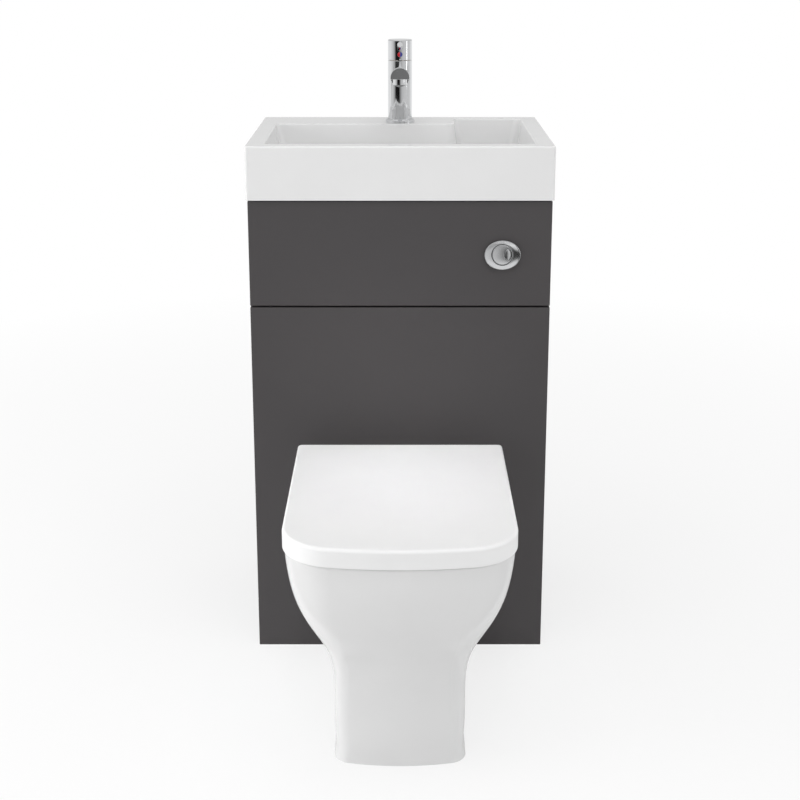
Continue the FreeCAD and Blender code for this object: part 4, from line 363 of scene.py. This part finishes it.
bodyOfNode = {node: body for body, nodes in frame["record"]["behaviour"]["bodies"].items() for node in nodes}
for nodeName, thing in frame["nodes"].items():
    thing.data.materials.clear()
    thing.data.materials.append(finishes[slotOfNode[nodeName]])
print("finishes made")


# Every finished piece rides on its body, stands for the nodes that it names and hides them, and takes its
# slot's finish unless it is given another

def finished(name, mesh, nodeNames, slotName, body, material=None):
    thing = bpy.data.objects.new(name, mesh)
    bpy.context.scene.collection.objects.link(thing)
    mesh.materials.clear()
    mesh.materials.append(material or finishes[slotName])
    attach(thing, body)
    if nodeNames:
        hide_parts(*nodeNames)


def modified(mesh, name, kind, settings):
    # runs one modifier on a mesh and gives the plain mesh that it makes
    thing = bpy.data.objects.new(name + "Work", mesh)
    bpy.context.scene.collection.objects.link(thing)
    modifier = thing.modifiers.new(kind.lower(), kind)
    for key, value in settings.items():
        setattr(modifier, key, value)
    graph = bpy.context.evaluated_depsgraph_get()
    made = bpy.data.meshes.new_from_object(thing.evaluated_get(graph))
    made.name = name
    bpy.data.objects.remove(thing)
    return made


def plainName(nodeName):
    words = nodeName.split("_")
    return words[0] + "".join(word.capitalize() for word in words[1:])


# Worn edges: a solid's own mesh, welded, with its sharp edges rounded and its shading smoothed

wornEdges = {
    "side_panel_left": 0.0008, "side_panel_right": 0.0008,
    "lower_front_panel": 0.0009, "upper_front_panel": 0.0009,
    "bottom_rail_back": 0.0006, "bottom_rail_front": 0.0006, "middle_rail": 0.0006, "top_rail_front": 0.0006,
    "top_rail_back": 0.0006, "cistern_shelf": 0.0006, "corner_blocks": 0.0004,
    "tap_body": 0.0006, "tap_base_ring": 0.0004, "tap_handle": 0.0003, "tap_lever": 0.0003,
    "tap_aerator": 0.0003, "waste_body": 0.0003, "waste_plug": 0.0004, "basin_overflow_ring": 0.0003,
    "wall_brackets": 0.0003, "pan_side_screws": 0.0003, "cistern_cover": 0.0010,
    "waste_back_nut": 0.0005, "flush_button_nut": 0.0005,
    "seat_ring_buffers": 0.0007, "seat_lid_buffers": 0.0006, "hinge_posts": 0.0003,
}
specialFinishes = {
    "bottom_rail_back": carcassFoil, "bottom_rail_front": carcassFoil, "middle_rail": carcassFoil,
    "top_rail_front": carcassFoil, "top_rail_back": carcassFoil, "cistern_shelf": carcassFoil,
    "corner_blocks": carcassFoil, "seat_ring_buffers": paleRubber, "seat_lid_buffers": paleRubber,
}
edgeLook = {"weld": 0.00001, "flatAngle": 1.0, "sharpAngle": 32.0, "segments": 2, "normalWeight": 50}


def weldedMesh(nodeName):
    thing = frame["nodes"][nodeName]
    work = bmesh.new()
    work.from_mesh(thing.data)
    work.transform(thing.matrix_world)
    bmesh.ops.remove_doubles(work, verts=work.verts, dist=edgeLook["weld"])
    return work


def makeWornEdges(nodeName, width):
    look = edgeLook
    name = plainName(nodeName)
    work = weldedMesh(nodeName)
    flat = math.radians(look["flatAngle"])
    bmesh.ops.dissolve_limit(work, angle_limit=flat, verts=work.verts, edges=work.edges)
    mesh = bpy.data.meshes.new(name)
    work.to_mesh(mesh)
    work.free()
    bevel = {
        "width": width, "segments": look["segments"], "miter_outer": "MITER_SHARP", "harden_normals": False,
        "use_clamp_overlap": False, "limit_method": "ANGLE", "angle_limit": math.radians(look["sharpAngle"]),
    }
    made = modified(mesh, name, "BEVEL", bevel)
    for face in made.polygons:
        face.use_smooth = True
    made = modified(made, name, "WEIGHTED_NORMAL", {"keep_sharp": True, "weight": look["normalWeight"]})
    slotName, body = slotOfNode[nodeName], bodyOfNode[nodeName]
    finished(name, made, [nodeName], slotName, body, specialFinishes.get(nodeName))


for nodeName, width in wornEdges.items():
    makeWornEdges(nodeName, width)
print("edges dressed")


# Rings of points joined into a closed skin; a ring of one point is a pole

def skinOf(name, rings, closed=False):
    work = bmesh.new()
    made = [[work.verts.new(point) for point in ring] for ring in rings]
    pairs = list(zip(made, made[1:])) + ([(made[-1], made[0])] if closed else [])
    for first, second in pairs:
        count = max(len(first), len(second))
        for index in range(count):
            after = (index + 1) % count
            corners = [first[index % len(first)], first[after % len(first)]]
            corners += [second[after % len(second)], second[index % len(second)]]
            work.faces.new(list(dict.fromkeys(corners)))
    bmesh.ops.recalc_face_normals(work, faces=work.faces)
    for face in work.faces:
        face.smooth = True
    mesh = bpy.data.meshes.new(name)
    work.to_mesh(mesh)
    work.free()
    return mesh


def quarterRound(steps):
    # shares of a quarter round from (0, 0) to (1, 1), first flat and then steep
    turns = [math.pi / 2 * step / steps for step in range(steps + 1)]
    return [(math.sin(turn), 1 - math.cos(turn)) for turn in turns]


# Flush button: an oval dished bezel, a round hollow button and a lens-shaped one, sized by the CAD boxes

bezelLook = {
    "points": 144, "rim": 0.0012, "shoulder": 1.4, "roundWide": 0.8, "roundDeep": 1.2, "roundSteps": 6,
    "crease": 0.00004, "creaseWide": 0.0002, "dish": 0.0026, "dishCurve": 1.35, "dishSteps": 14,
    "lip": 0.0007, "lipSteps": 4, "mouthGap": 0.0009,
}
buttonLook = {
    "edge": 0.0009, "edgeSteps": 6, "hollow": 0.0016, "hollowSteps": 16, "arcSteps": 48, "lensGap": 0.00065,
    # the rounded brink of the lens's hole: the share of the way outwards, and how far it is sunk
    "brink": [(0.0, 0.0006), (0.004, 0.0002), (0.018, 0.0)],
    "dome": 0.0004, "domeSteps": 8, "domeTop": 0.98, "tipTaper": 1.6,
}


def makeBezel():
    look = bezelLook
    low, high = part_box("flush_bezel")
    buttonLow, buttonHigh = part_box("flush_button_large")
    middle = (low + high) / 2
    halfWide, halfTall = (high.x - low.x) / 2, (high.z - low.z) / 2
    mouth = (buttonHigh.x - buttonLow.x) / 2 + look["mouthGap"]

    # an oval that turns into the round mouth as toMouth goes from 0 to 1
    def ring(inset, depth, toMouth=0.0, radius=0.0):
        points = []
        for step in range(look["points"]):
            turn = 2 * math.pi * step / look["points"]
            across = (halfWide - inset) * (1 - toMouth) + radius * toMouth
            along = (halfTall - inset) * (1 - toMouth) + radius * toMouth
            points.append((middle.x + across * math.cos(turn), depth, middle.z + along * math.sin(turn)))
        return points

    rings = [ring(0.0, high.y), ring(0.0, low.y + look["rim"] * look["shoulder"])]
    for out, down in quarterRound(look["roundSteps"])[::-1]:
        inset = look["rim"] * look["roundWide"] * (1 - out)
        rings.append(ring(inset, low.y + look["rim"] * look["roundDeep"] * down))
    rings.append(ring(look["rim"], low.y + look["crease"]))
    for step in range(1, look["dishSteps"] + 1):
        share = step / look["dishSteps"]
        depth = look["dish"] * (1 - (1 - share) ** look["dishCurve"])
        rings.append(ring(look["rim"] + look["creaseWide"], low.y + depth, share, mouth + look["lip"]))
    for out, down in quarterRound(look["lipSteps"])[1:]:
        depth = low.y + look["dish"] + look["lip"] * down
        rings.append(ring(0.0, depth, 1.0, mouth + look["lip"] * (1 - out)))
    rings.append(ring(0.0, high.y, 1.0, mouth))
    finished("bezel", skinOf("bezel", rings, closed=True), ["flush_bezel"], "chrome", "unit", satinChrome)


def lensOutline(wider):
    # the two arcs of the small button, from its lower tip round by the right
    steps = buttonLook["arcSteps"]
    low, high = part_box("flush_button_small")
    half, tall = (high.x - low.x) / 2, (high.z - low.z) / 2
    bend = (tall ** 2 + half ** 2) / (2 * half)
    tip = math.asin(tall / bend)
    middle = (low + high) / 2
    points = []
    for side in (1, -1):
        for step in range(steps):
            turn = side * (-tip + 2 * tip * step / steps)
            across = (bend + wider) * math.cos(turn) - (bend - half)
            points.append((middle.x + side * across, middle.z + (bend + wider) * math.sin(turn)))
    return points, middle


def makeLargeButton():
    look = buttonLook
    low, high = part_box("flush_button_large")
    middle, radius = (low + high) / 2, (high.x - low.x) / 2
    flat = radius - look["edge"]
    hole, lensMiddle = lensOutline(look["lensGap"])
    rimmed = []
    for x, z in hole:
        # where the line from the lens's middle through this point meets the flat's edge
        line = Vector((x - lensMiddle.x, z - lensMiddle.z)).normalized()
        start = Vector((lensMiddle.x - middle.x, lensMiddle.z - middle.z))
        reach = -start.dot(line) + math.sqrt(start.dot(line) ** 2 + flat ** 2 - start.length_squared)
        rimmed.append((lensMiddle.x + line.x * reach, lensMiddle.z + line.y * reach))

    def depthAt(x, z):
        away = math.hypot(x - middle.x, z - middle.z) / flat
        return low.y + look["hollow"] * (1 - min(away, 1.0) ** 2)

    def between(share, sunk=0.0):
        points = []
        for (x, z), (farX, farZ) in zip(hole, rimmed):
            placeX, placeZ = x + (farX - x) * share, z + (farZ - z) * share
            points.append((placeX, depthAt(placeX, placeZ) + sunk, placeZ))
        return points

    def rim(outward, depth):
        scale = (flat + outward) / flat
        return [(middle.x + (x - middle.x) * scale, depth, middle.z + (z - middle.z) * scale)
                for x, z in rimmed]

    rings = [[(x, high.y, z) for x, z in hole]]
    rings += [between(share, sunk) for share, sunk in look["brink"]]
    rings += [between(step / look["hollowSteps"]) for step in range(1, look["hollowSteps"] + 1)]
    for out, down in quarterRound(look["edgeSteps"])[1:]:
        rings.append(rim(look["edge"] * out, low.y + look["edge"] * down))
    rings.append(rim(look["edge"], high.y))
    mesh = skinOf("largeButton", rings, closed=True)
    body = bodyOfNode["flush_button_large"]
    finished("largeButton", mesh, ["flush_button_large"], "chrome", body, satinChrome)


def makeSmallButton():
    look = buttonLook
    low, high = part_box("flush_button_small")
    outline, middle = lensOutline(0.0)
    wide, tall = (high.x - low.x) / 2, (high.z - low.z) / 2

    def ring(inset, depth):
        across, along = wide - inset, tall - inset * look["tipTaper"]
        return [(middle.x + (x - middle.x) * across / wide, depth, middle.z + (z - middle.z) * along / tall)
                for x, z in outline]

    edge = look["edge"]
    rings = [[(middle.x, high.y, middle.z)], ring(0.0, high.y)]
    for out, down in quarterRound(look["edgeSteps"])[::-1]:
        rings.append(ring(edge * (1 - out), low.y + look["dome"] + (edge - look["dome"]) * down))
    for step in range(1, look["domeSteps"]):
        share = step / look["domeSteps"]
        inset = min(edge + (wide - edge) * share, wide * look["domeTop"])
        rings.append(ring(inset, low.y + look["dome"] * (1 - share) ** 2))
    rings.append([(middle.x, low.y, middle.z)])
    mesh = skinOf("smallButton", rings)
    body = bodyOfNode["flush_button_small"]
    finished("smallButton", mesh, ["flush_button_small"], "chrome", body, satinChrome)


makeBezel()
makeLargeButton()
makeSmallButton()
print("flush button made")


# What repeats is grown by Geometry Nodes: a tree with named sizes, run on points and kept as a plain mesh

class Grower(Board):
    def __init__(self, name, sizes):
        tree = bpy.data.node_groups.new(name, "GeometryNodeTree")
        super().__init__(tree)
        tree.interface.new_socket(name="Geometry", in_out="INPUT", socket_type="NodeSocketGeometry")
        for size, kind in sizes.items():
            tree.interface.new_socket(name=size, in_out="INPUT", socket_type="NodeSocket" + kind)
        tree.interface.new_socket(name="Material", in_out="INPUT", socket_type="NodeSocketMaterial")
        tree.interface.new_socket(name="Geometry", in_out="OUTPUT", socket_type="NodeSocketGeometry")
        self.inlet = tree.nodes.new("NodeGroupInput")

    def given(self, name):
        return Wire(self, self.inlet.outputs[name])

    def vector(self, **sides):
        return self.node("ShaderNodeCombineXYZ", {}, {key.upper(): value for key, value in sides.items()})

    def end(self, shape):
        whole = self.node("GeometryNodeRealizeInstances", {}, {0: shape})
        inputs = {"Geometry": whole, "Material": self.given("Material")}
        coated = self.node("GeometryNodeSetMaterial", {}, inputs)
        self.feed(self.tree.nodes.new("NodeGroupOutput").inputs[0], coated)
        return self.tree


def grow(name, tree, values, points, material):
    mesh = bpy.data.meshes.new(name + "Points")
    mesh.from_pydata(points, [], [])
    thing = bpy.data.objects.new(name + "Points", mesh)
    bpy.context.scene.collection.objects.link(thing)
    modifier = thing.modifiers.new("grow", "NODES")
    modifier.node_group = tree
    settings = dict(values, Material=material)
    for socket in tree.interface.items_tree:
        if socket.in_out == "INPUT" and socket.name in settings:
            modifier[socket.identifier] = settings[socket.name]
    graph = bpy.context.evaluated_depsgraph_get()
    made = bpy.data.meshes.new_from_object(thing.evaluated_get(graph))
    made.name = name
    bpy.data.objects.remove(thing)
    return made


def joined(name, meshes):
    whole = bmesh.new()
    for mesh in meshes:
        whole.from_mesh(mesh)
    together = bpy.data.meshes.new(name)
    whole.to_mesh(together)
    whole.free()
    return together


def solidBoxes(nodeName):
    # the boxes of a node's separate solids, in order from left to right
    work = weldedMesh(nodeName)
    left, boxes = set(work.verts), []
    while left:
        reached, waiting = set(), [left.pop()]
        while waiting:
            spot = waiting.pop()
            reached.add(spot)
            for line in spot.link_edges:
                other = line.other_vert(spot)
                if other in left:
                    left.discard(other)
                    waiting.append(other)
        places = [vert.co for vert in reached]
        low = Vector([min(place[axis] for place in places) for axis in range(3)])
        high = Vector([max(place[axis] for place in places) for axis in range(3)])
        boxes.append((low, high))
    work.free()
    return sorted(boxes, key=lambda box: tuple(box[0]))


# Grip ribs round the plastic nuts: their pitch and width, and their share of the nut's length

gripLook = {"pitch": 0.0046, "wide": 0.0024, "share": 0.62, "sides": 10}


def makeGripTree():
    tree = Grower("gripRibs", {"Count": "Int", "Radius": "Float", "Length": "Float", "Wide": "Float"})
    sizes = {"Vertices": tree.given("Count"), "Radius": tree.given("Radius")}
    circle = tree.node("GeometryNodeMeshCircle", {}, sizes)
    sizes = {"Vertices": gripLook["sides"], "Radius": tree.given("Wide") / 2, "Depth": tree.given("Length")}
    bar = tree.node("GeometryNodeMeshCylinder", {}, sizes)
    rib = tree.node("GeometryNodeSetShadeSmooth", {}, {0: bar})
    return tree.end(tree.node("GeometryNodeInstanceOnPoints", {}, {"Points": circle, "Instance": rib}))


def makeGrips():
    look = gripLook
    tree = makeGripTree()
    for nodeName in ("cistern_nuts", "trap_nuts"):
        meshes = []
        for low, high in solidBoxes(nodeName):
            wide = high - low
            # the axis is the side that differs from the two alike
            axis = min(range(3), key=lambda side: abs(wide[(side + 1) % 3] - wide[(side + 2) % 3]))
            radius = wide[(axis + 1) % 3] / 2
            values = {"Count": int(2 * math.pi * radius / look["pitch"]), "Radius": radius,
                      "Length": wide[axis] * look["share"], "Wide": look["wide"]}
            mesh = grow("grips", tree, values, [(0, 0, 0)], finishes["white_plastic"])
            turn = Vector((0, 0, 1)).rotation_difference(Vector([float(side == axis) for side in range(3)]))
            mesh.transform(Matrix.Translation((low + high) / 2) @ turn.to_matrix().to_4x4())
            meshes.append(mesh)
        name = plainName(nodeName) + "Grips"
        finished(name, joined(name, meshes), [], "white_plastic", bodyOfNode[nodeName])


makeGrips()
print("grip ribs grown")


# Cistern tank: a blow-moulded box, stiffened by upright ribs inside a raised frame on its two broad walls

tankLook = {
    "ribs": 5, "step": 0.052, "wide": 0.009, "proud": 0.0024, "tall": 0.205, "drop": 0.012,
    "ribFaces": (24, 16), "frameInset": 0.026, "frameRound": 0.024, "frameBead": 0.0030, "frameFlat": 0.5,
    "cornerSteps": 12, "framePoints": 220, "beadSides": 14,
}


def makeTankRibTree():
    sizes = {"Count": "Int", "Step": "Float", "Wide": "Float", "Proud": "Float", "Tall": "Float"}
    tree = Grower("tankRibs", sizes)
    count, step, wide = tree.given("Count"), tree.given("Step"), tree.given("Wide")
    line = tree.node("GeometryNodeMeshLine", {}, {"Count": count, "Offset": tree.vector(x=step)})
    middle = tree.vector(x=(count - 1.0) * step * -0.5)
    row = tree.node("GeometryNodeSetPosition", {}, {"Geometry": line, "Offset": middle})
    segments, rings = tankLook["ribFaces"]
    ball = tree.node("GeometryNodeMeshUVSphere", {}, {"Segments": segments, "Rings": rings, "Radius": 1.0})
    upright = tree.parts(tree.node("GeometryNodeInputPosition"))[2]
    above = tree.node("ShaderNodeMath", {"operation": "SIGN"}, {0: upright})
    # the ball is pulled apart at its middle, so that each rib is a long capsule
    stretch = tree.vector(z=above * (tree.given("Tall") / wide - 1.0))
    capsule = tree.node("GeometryNodeSetPosition", {}, {"Geometry": ball, "Offset": stretch})
    smooth = tree.node("GeometryNodeSetShadeSmooth", {}, {0: capsule})
    half = wide * 0.5
    ribs = {"Points": row, "Instance": smooth, "Scale": tree.vector(x=half, y=tree.given("Proud"), z=half)}
    return tree.end(tree.node("GeometryNodeInstanceOnPoints", {}, ribs))


def makeTankFrameTree():
    look = tankLook
    tree = Grower("tankFrame", {"Across": "Float", "Tall": "Float", "Round": "Float", "Bead": "Float"})
    sizes = {"Width": tree.given("Across"), "Height": tree.given("Tall")}
    outline = tree.node("GeometryNodeCurvePrimitiveQuadrilateral", {"mode": "RECTANGLE"}, sizes)
    corners = {"Curve": outline, "Radius": tree.given("Round"), "Count": look["cornerSteps"]}
    path = tree.node("GeometryNodeFilletCurve", {"mode": "POLY"}, corners)
    path = tree.node("GeometryNodeResampleCurve", {}, {"Curve": path, "Count": look["framePoints"]})
    sizes = {"Resolution": look["beadSides"], "Radius": tree.given("Bead")}
    bead = tree.node("GeometryNodeCurvePrimitiveCircle", {}, sizes)
    swept = tree.node("GeometryNodeCurveToMesh", {}, {"Curve": path, "Profile Curve": bead})
    return tree.end(tree.node("GeometryNodeSetShadeSmooth", {}, {0: swept}))


def makeTankForm():
    look = tankLook
    low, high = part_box("cistern_tank")
    white = finishes["white_plastic"]
    middle = (low + high) / 2
    across, tall = high.x - low.x - look["frameInset"] * 2, high.z - low.z - look["frameInset"] * 2
    ribValues = {"Count": look["ribs"], "Step": look["step"], "Wide": look["wide"], "Proud": look["proud"],
                 "Tall": look["tall"] / 2}
    frameValues = {"Across": across, "Tall": tall, "Round": look["frameRound"], "Bead": look["frameBead"]}
    ribTree, frameTree = makeTankRibTree(), makeTankFrameTree()
    # the frame is grown lying down: it is flattened into a low swelling and stood up against the wall
    upright = Matrix.Rotation(math.radians(90), 4, "X") @ Matrix.Diagonal((1.0, 1.0, look["frameFlat"], 1.0))
    meshes = []
    for wall in (low.y, high.y):
        ribs = grow("tankRibs", ribTree, ribValues, [(0, 0, 0)], white)
        ribs.transform(Matrix.Translation((middle.x, wall, middle.z - look["drop"])))
        bead = grow("tankFrame", frameTree, frameValues, [(0, 0, 0)], white)
        bead.transform(Matrix.Translation((middle.x, wall, middle.z)) @ upright)
        meshes += [ribs, bead]
    finished("tankForm", joined("tankForm", meshes), [], "white_plastic", "unit")


makeTankForm()
print("tank ribs and frames grown")


# Screws: one cross-head in each corner block

screwLook = {
    "radius": 0.0040, "thick": 0.0016, "taper": 0.72, "sides": 24,
    "slotLong": 0.0050, "slotWide": 0.0011, "slotDeep": 0.0009, "cutterDeep": 1.2,
}


def makeScrewTree():
    look = screwLook
    sizes = {"Radius": "Float", "Thick": "Float", "Slot Long": "Float", "Slot Wide": "Float",
             "Slot Deep": "Float", "Turn": "Rotation"}
    tree = Grower("crossHeadScrews", sizes)
    radius, thick, deep = tree.given("Radius"), tree.given("Thick"), tree.given("Slot Deep")
    cone = {"Vertices": look["sides"], "Radius Top": radius * look["taper"], "Radius Bottom": radius,
            "Depth": thick}
    head = tree.node("GeometryNodeMeshCone", {}, cone)
    lift = tree.vector(z=thick - deep * 0.5)
    bars = []
    for long, wide in (("Slot Long", "Slot Wide"), ("Slot Wide", "Slot Long")):
        extent = tree.vector(x=tree.given(long), y=tree.given(wide), z=deep * look["cutterDeep"])
        bar = tree.node("GeometryNodeMeshCube", {}, {"Size": extent})
        bars.append(tree.node("GeometryNodeTransform", {}, {"Geometry": bar, "Translation": lift}))
    cross = tree.node("GeometryNodeMeshBoolean", {"operation": "UNION"}, {"Mesh 2": bars})
    cut = tree.node("GeometryNodeMeshBoolean", {"operation": "DIFFERENCE"}, {"Mesh 1": head, "Mesh 2": cross})
    heads = {"Points": tree.given("Geometry"), "Instance": cut, "Rotation": tree.given("Turn")}
    return tree.end(tree.node("GeometryNodeInstanceOnPoints", {}, heads))


def makeScrews():
    look = screwLook
    sizes = {"Radius": look["radius"], "Thick": look["thick"], "Slot Long": look["slotLong"],
             "Slot Wide": look["slotWide"], "Slot Deep": look["slotDeep"]}
    tree = makeScrewTree()
    meshes = []
    for side in (-1, 1):
        spots = []
        for low, high in solidBoxes("corner_blocks"):
            middle = (low + high) / 2
            if middle.x * side > 0:
                inner = low.x if side > 0 else high.x
                spots.append((inner, middle.y, middle.z))
        # a head's axis points to the middle of the cabinet
        values = dict(sizes, Turn=(0.0, -side * math.pi / 2, 0.0))
        meshes.append(grow("screwHeads", tree, values, spots, finishes["steel"]))
    finished("cornerBlockScrews", joined("cornerBlockScrews", meshes), [], "steel", "unit")


makeScrews()
print("screws grown")


# Camera: pitched down, with a small shift; numbers in millimetres, degrees and photo pixels

cameraView = {
    "distance": 2640.0, "height": 1217.0, "pitch": 15.04, "focal": 1427.0, "shift": -0.11,
    "sensor": 36.0, "frame": 800,
}


def makeCamera():
    view = cameraView
    data = bpy.data.cameras.new("photoCamera")
    data.sensor_fit = "HORIZONTAL"
    data.sensor_width = view["sensor"]
    data.lens = view["focal"] * view["sensor"] / view["frame"]
    data.shift_y = view["shift"]
    camera = bpy.data.objects.new("photoCamera", data)
    camera.location = (0, -view["distance"] / 1000, view["height"] / 1000)
    camera.rotation_euler = (math.radians(90 - view["pitch"]), 0, 0)
    bpy.context.scene.collection.objects.link(camera)
    bpy.context.scene.camera = camera


# Floor: pale, fading to white as the camera sees it, and open to what metal mirrors beyond the part

floorLook = {
    "colour": (240, 240, 240), "rough": 0.9, "specular": 0.1, "half": 30.0,
    "white": 0.72, "fadeStart": 0.6, "fadeLength": 1.6, "mirroredTo": 0.75,
}


def makeFloor():
    look = floorLook
    half = look["half"]
    mesh = bpy.data.meshes.new("paleFloor")
    corners = [(-half, -half, 0), (half, -half, 0), (half, half, 0), (-half, half, 0)]
    mesh.from_pydata(corners, [], [(0, 1, 2, 3)])
    floor = bpy.data.objects.new("paleFloor", mesh)
    bpy.context.scene.collection.objects.link(floor)
    lit = {"baseColour": colour(*look["colour"]), "roughness": look["rough"], "specular": look["specular"]}
    finish = Finish("paleFloor", **lit)
    white = finish.node("ShaderNodeEmission", {}, {0: (1, 1, 1, 1), 1: 1.0})
    away = finish.node("ShaderNodeVectorMath", {"operation": "LENGTH"}, {0: finish.places()}, output="Value")
    faded = finish.node("ShaderNodeClamp", {}, {0: (away - look["fadeStart"]) / look["fadeLength"]})
    amount = (look["white"] + faded * (1.0 - look["white"])) * finish.rays("Is Camera Ray")
    surface = finish.mixed(amount, Wire(finish, finish.shader.outputs[0]), white)
    beyond = finish.node("ShaderNodeMath", {"operation": "GREATER_THAN"}, {0: away, 1: look["mirroredTo"]})
    clear = finish.node("ShaderNodeBsdfTransparent")
    whole = finish.mixed(beyond * finish.rays("Is Glossy Ray"), surface, clear)
    finish.feed(finish.output.inputs[0], whole)
    mesh.materials.append(finish.material)


# World: white behind the part, an even light on it, and for polished metal a ring of light and dark to mirror

worldLook = {"white": 1.0, "lit": 0.64, "dark": 0.0, "ground": 0.44, "sky": 0.84}
mirrorStops = {
    # brightness round the horizon, from behind (0), over the left, the front (0.5) and the right
    "ring": [
        (0.0, 1.0), (0.22, 0.95), (0.30, 0.70), (0.345, 0.48), (0.37, 0.16), (0.392, 0.010), (0.48, 0.008),
        (0.50, 0.20), (0.52, 0.36), (0.55, 0.58), (0.62, 0.70), (0.78, 0.74), (0.85, 0.98), (1.0, 1.0),
    ],
    # the sky's share round the same ring: bright ahead, plain behind
    "ahead": [(0.0, 0.0), (0.18, 0.0), (0.32, 1.0), (0.68, 1.0), (0.82, 0.0), (1.0, 0.0)],
    # over the height, from straight down (0) to straight up (1): where the ground ends and the sky begins
    "ground": [(0.0, 1.0), (0.22, 1.0), (0.30, 0.0), (1.0, 0.0)],
    "sky": [(0.0, 0.0), (0.47, 0.0), (0.56, 1.0), (1.0, 1.0)],
}


def makeWorld():
    world = bpy.data.worlds.new("whiteRoom")
    bpy.context.scene.world = world
    world.use_nodes = True
    board = Board(world.node_tree)
    shades = {name: board.node("ShaderNodeBackground", {}, {0: (1, 1, 1, 1), 1: strength})
              for name, strength in worldLook.items()}
    east, north, up = board.parts(board.node("ShaderNodeTexCoord", output="Generated"))
    turn = board.node("ShaderNodeMath", {"operation": "ARCTAN2"}, {0: east, 1: -north}) / (2 * math.pi) + 0.5
    height = up * 0.5 + 0.5
    sky = board.mixed(board.ramp(turn, mirrorStops["ahead"]), shades["lit"], shades["sky"])
    mirrored = board.mixed(board.ramp(turn, mirrorStops["ring"]), shades["dark"], shades["white"])
    mirrored = board.mixed(board.ramp(height, mirrorStops["sky"]), mirrored, sky)
    mirrored = board.mixed(board.ramp(height, mirrorStops["ground"]), mirrored, shades["ground"])
    room = board.mixed(board.rays("Is Glossy Ray"), shades["lit"], mirrored)
    whole = board.mixed(board.rays("Is Camera Ray"), room, shades["white"])
    board.feed(board.tree.nodes.new("ShaderNodeOutputWorld").inputs[0], whole)


# Lamps: four soft panels, a narrow one that evens out the lid, and a strip that polished metal mirrors

lamps = {
    "frontPanel": {"place": (-0.8, -3.6, 0.6), "aim": (0, -0.4, 0.5), "size": (2.8, 1.0), "power": 7.0},
    "leftPanel": {"place": (-2.6, -0.9, 0.8), "aim": (0, -0.5, 0.4), "size": (1.4, 1.5), "power": 30.0},
    "rightPanel": {"place": (2.6, -0.9, 0.8), "aim": (0, -0.5, 0.4), "size": (1.4, 1.5), "power": 5.5},
    "topPanel": {"place": (0, -1.3, 3.2), "aim": (0, -0.6, 0.4), "size": (2.2, 1.8), "power": 30.0},
    "lidPanel": {"place": (0, -1.45, 2.3), "aim": (0, -0.50, 0.40), "size": (0.30, 0.40), "power": 0.125,
                 "spread": 12.0},
    "glintStrip": {"place": (2.9, -1.2, 1.4), "aim": (0, -0.1, 0.95), "size": (0.16, 1.6), "power": 3.0,
                   "mirrored": True},
}


def makeLamp(name, place, aim, size, power, mirrored=False, spread=180.0):
    data = bpy.data.lights.new(name, "AREA")
    data.shape = "RECTANGLE"
    data.size, data.size_y = size
    data.energy = power
    data.spread = math.radians(spread)
    lamp = bpy.data.objects.new(name, data)
    lamp.location = place
    lamp.rotation_euler = (Vector(aim) - Vector(place)).to_track_quat("-Z", "Y").to_euler()
    lamp.visible_glossy = mirrored
    lamp.visible_camera = False
    bpy.context.scene.collection.objects.link(lamp)


makeCamera()
makeFloor()
makeWorld()
for name, lamp in lamps.items():
    makeLamp(name, **lamp)
bpy.context.scene.view_settings.view_transform = "Standard"
print("stage and camera ready")
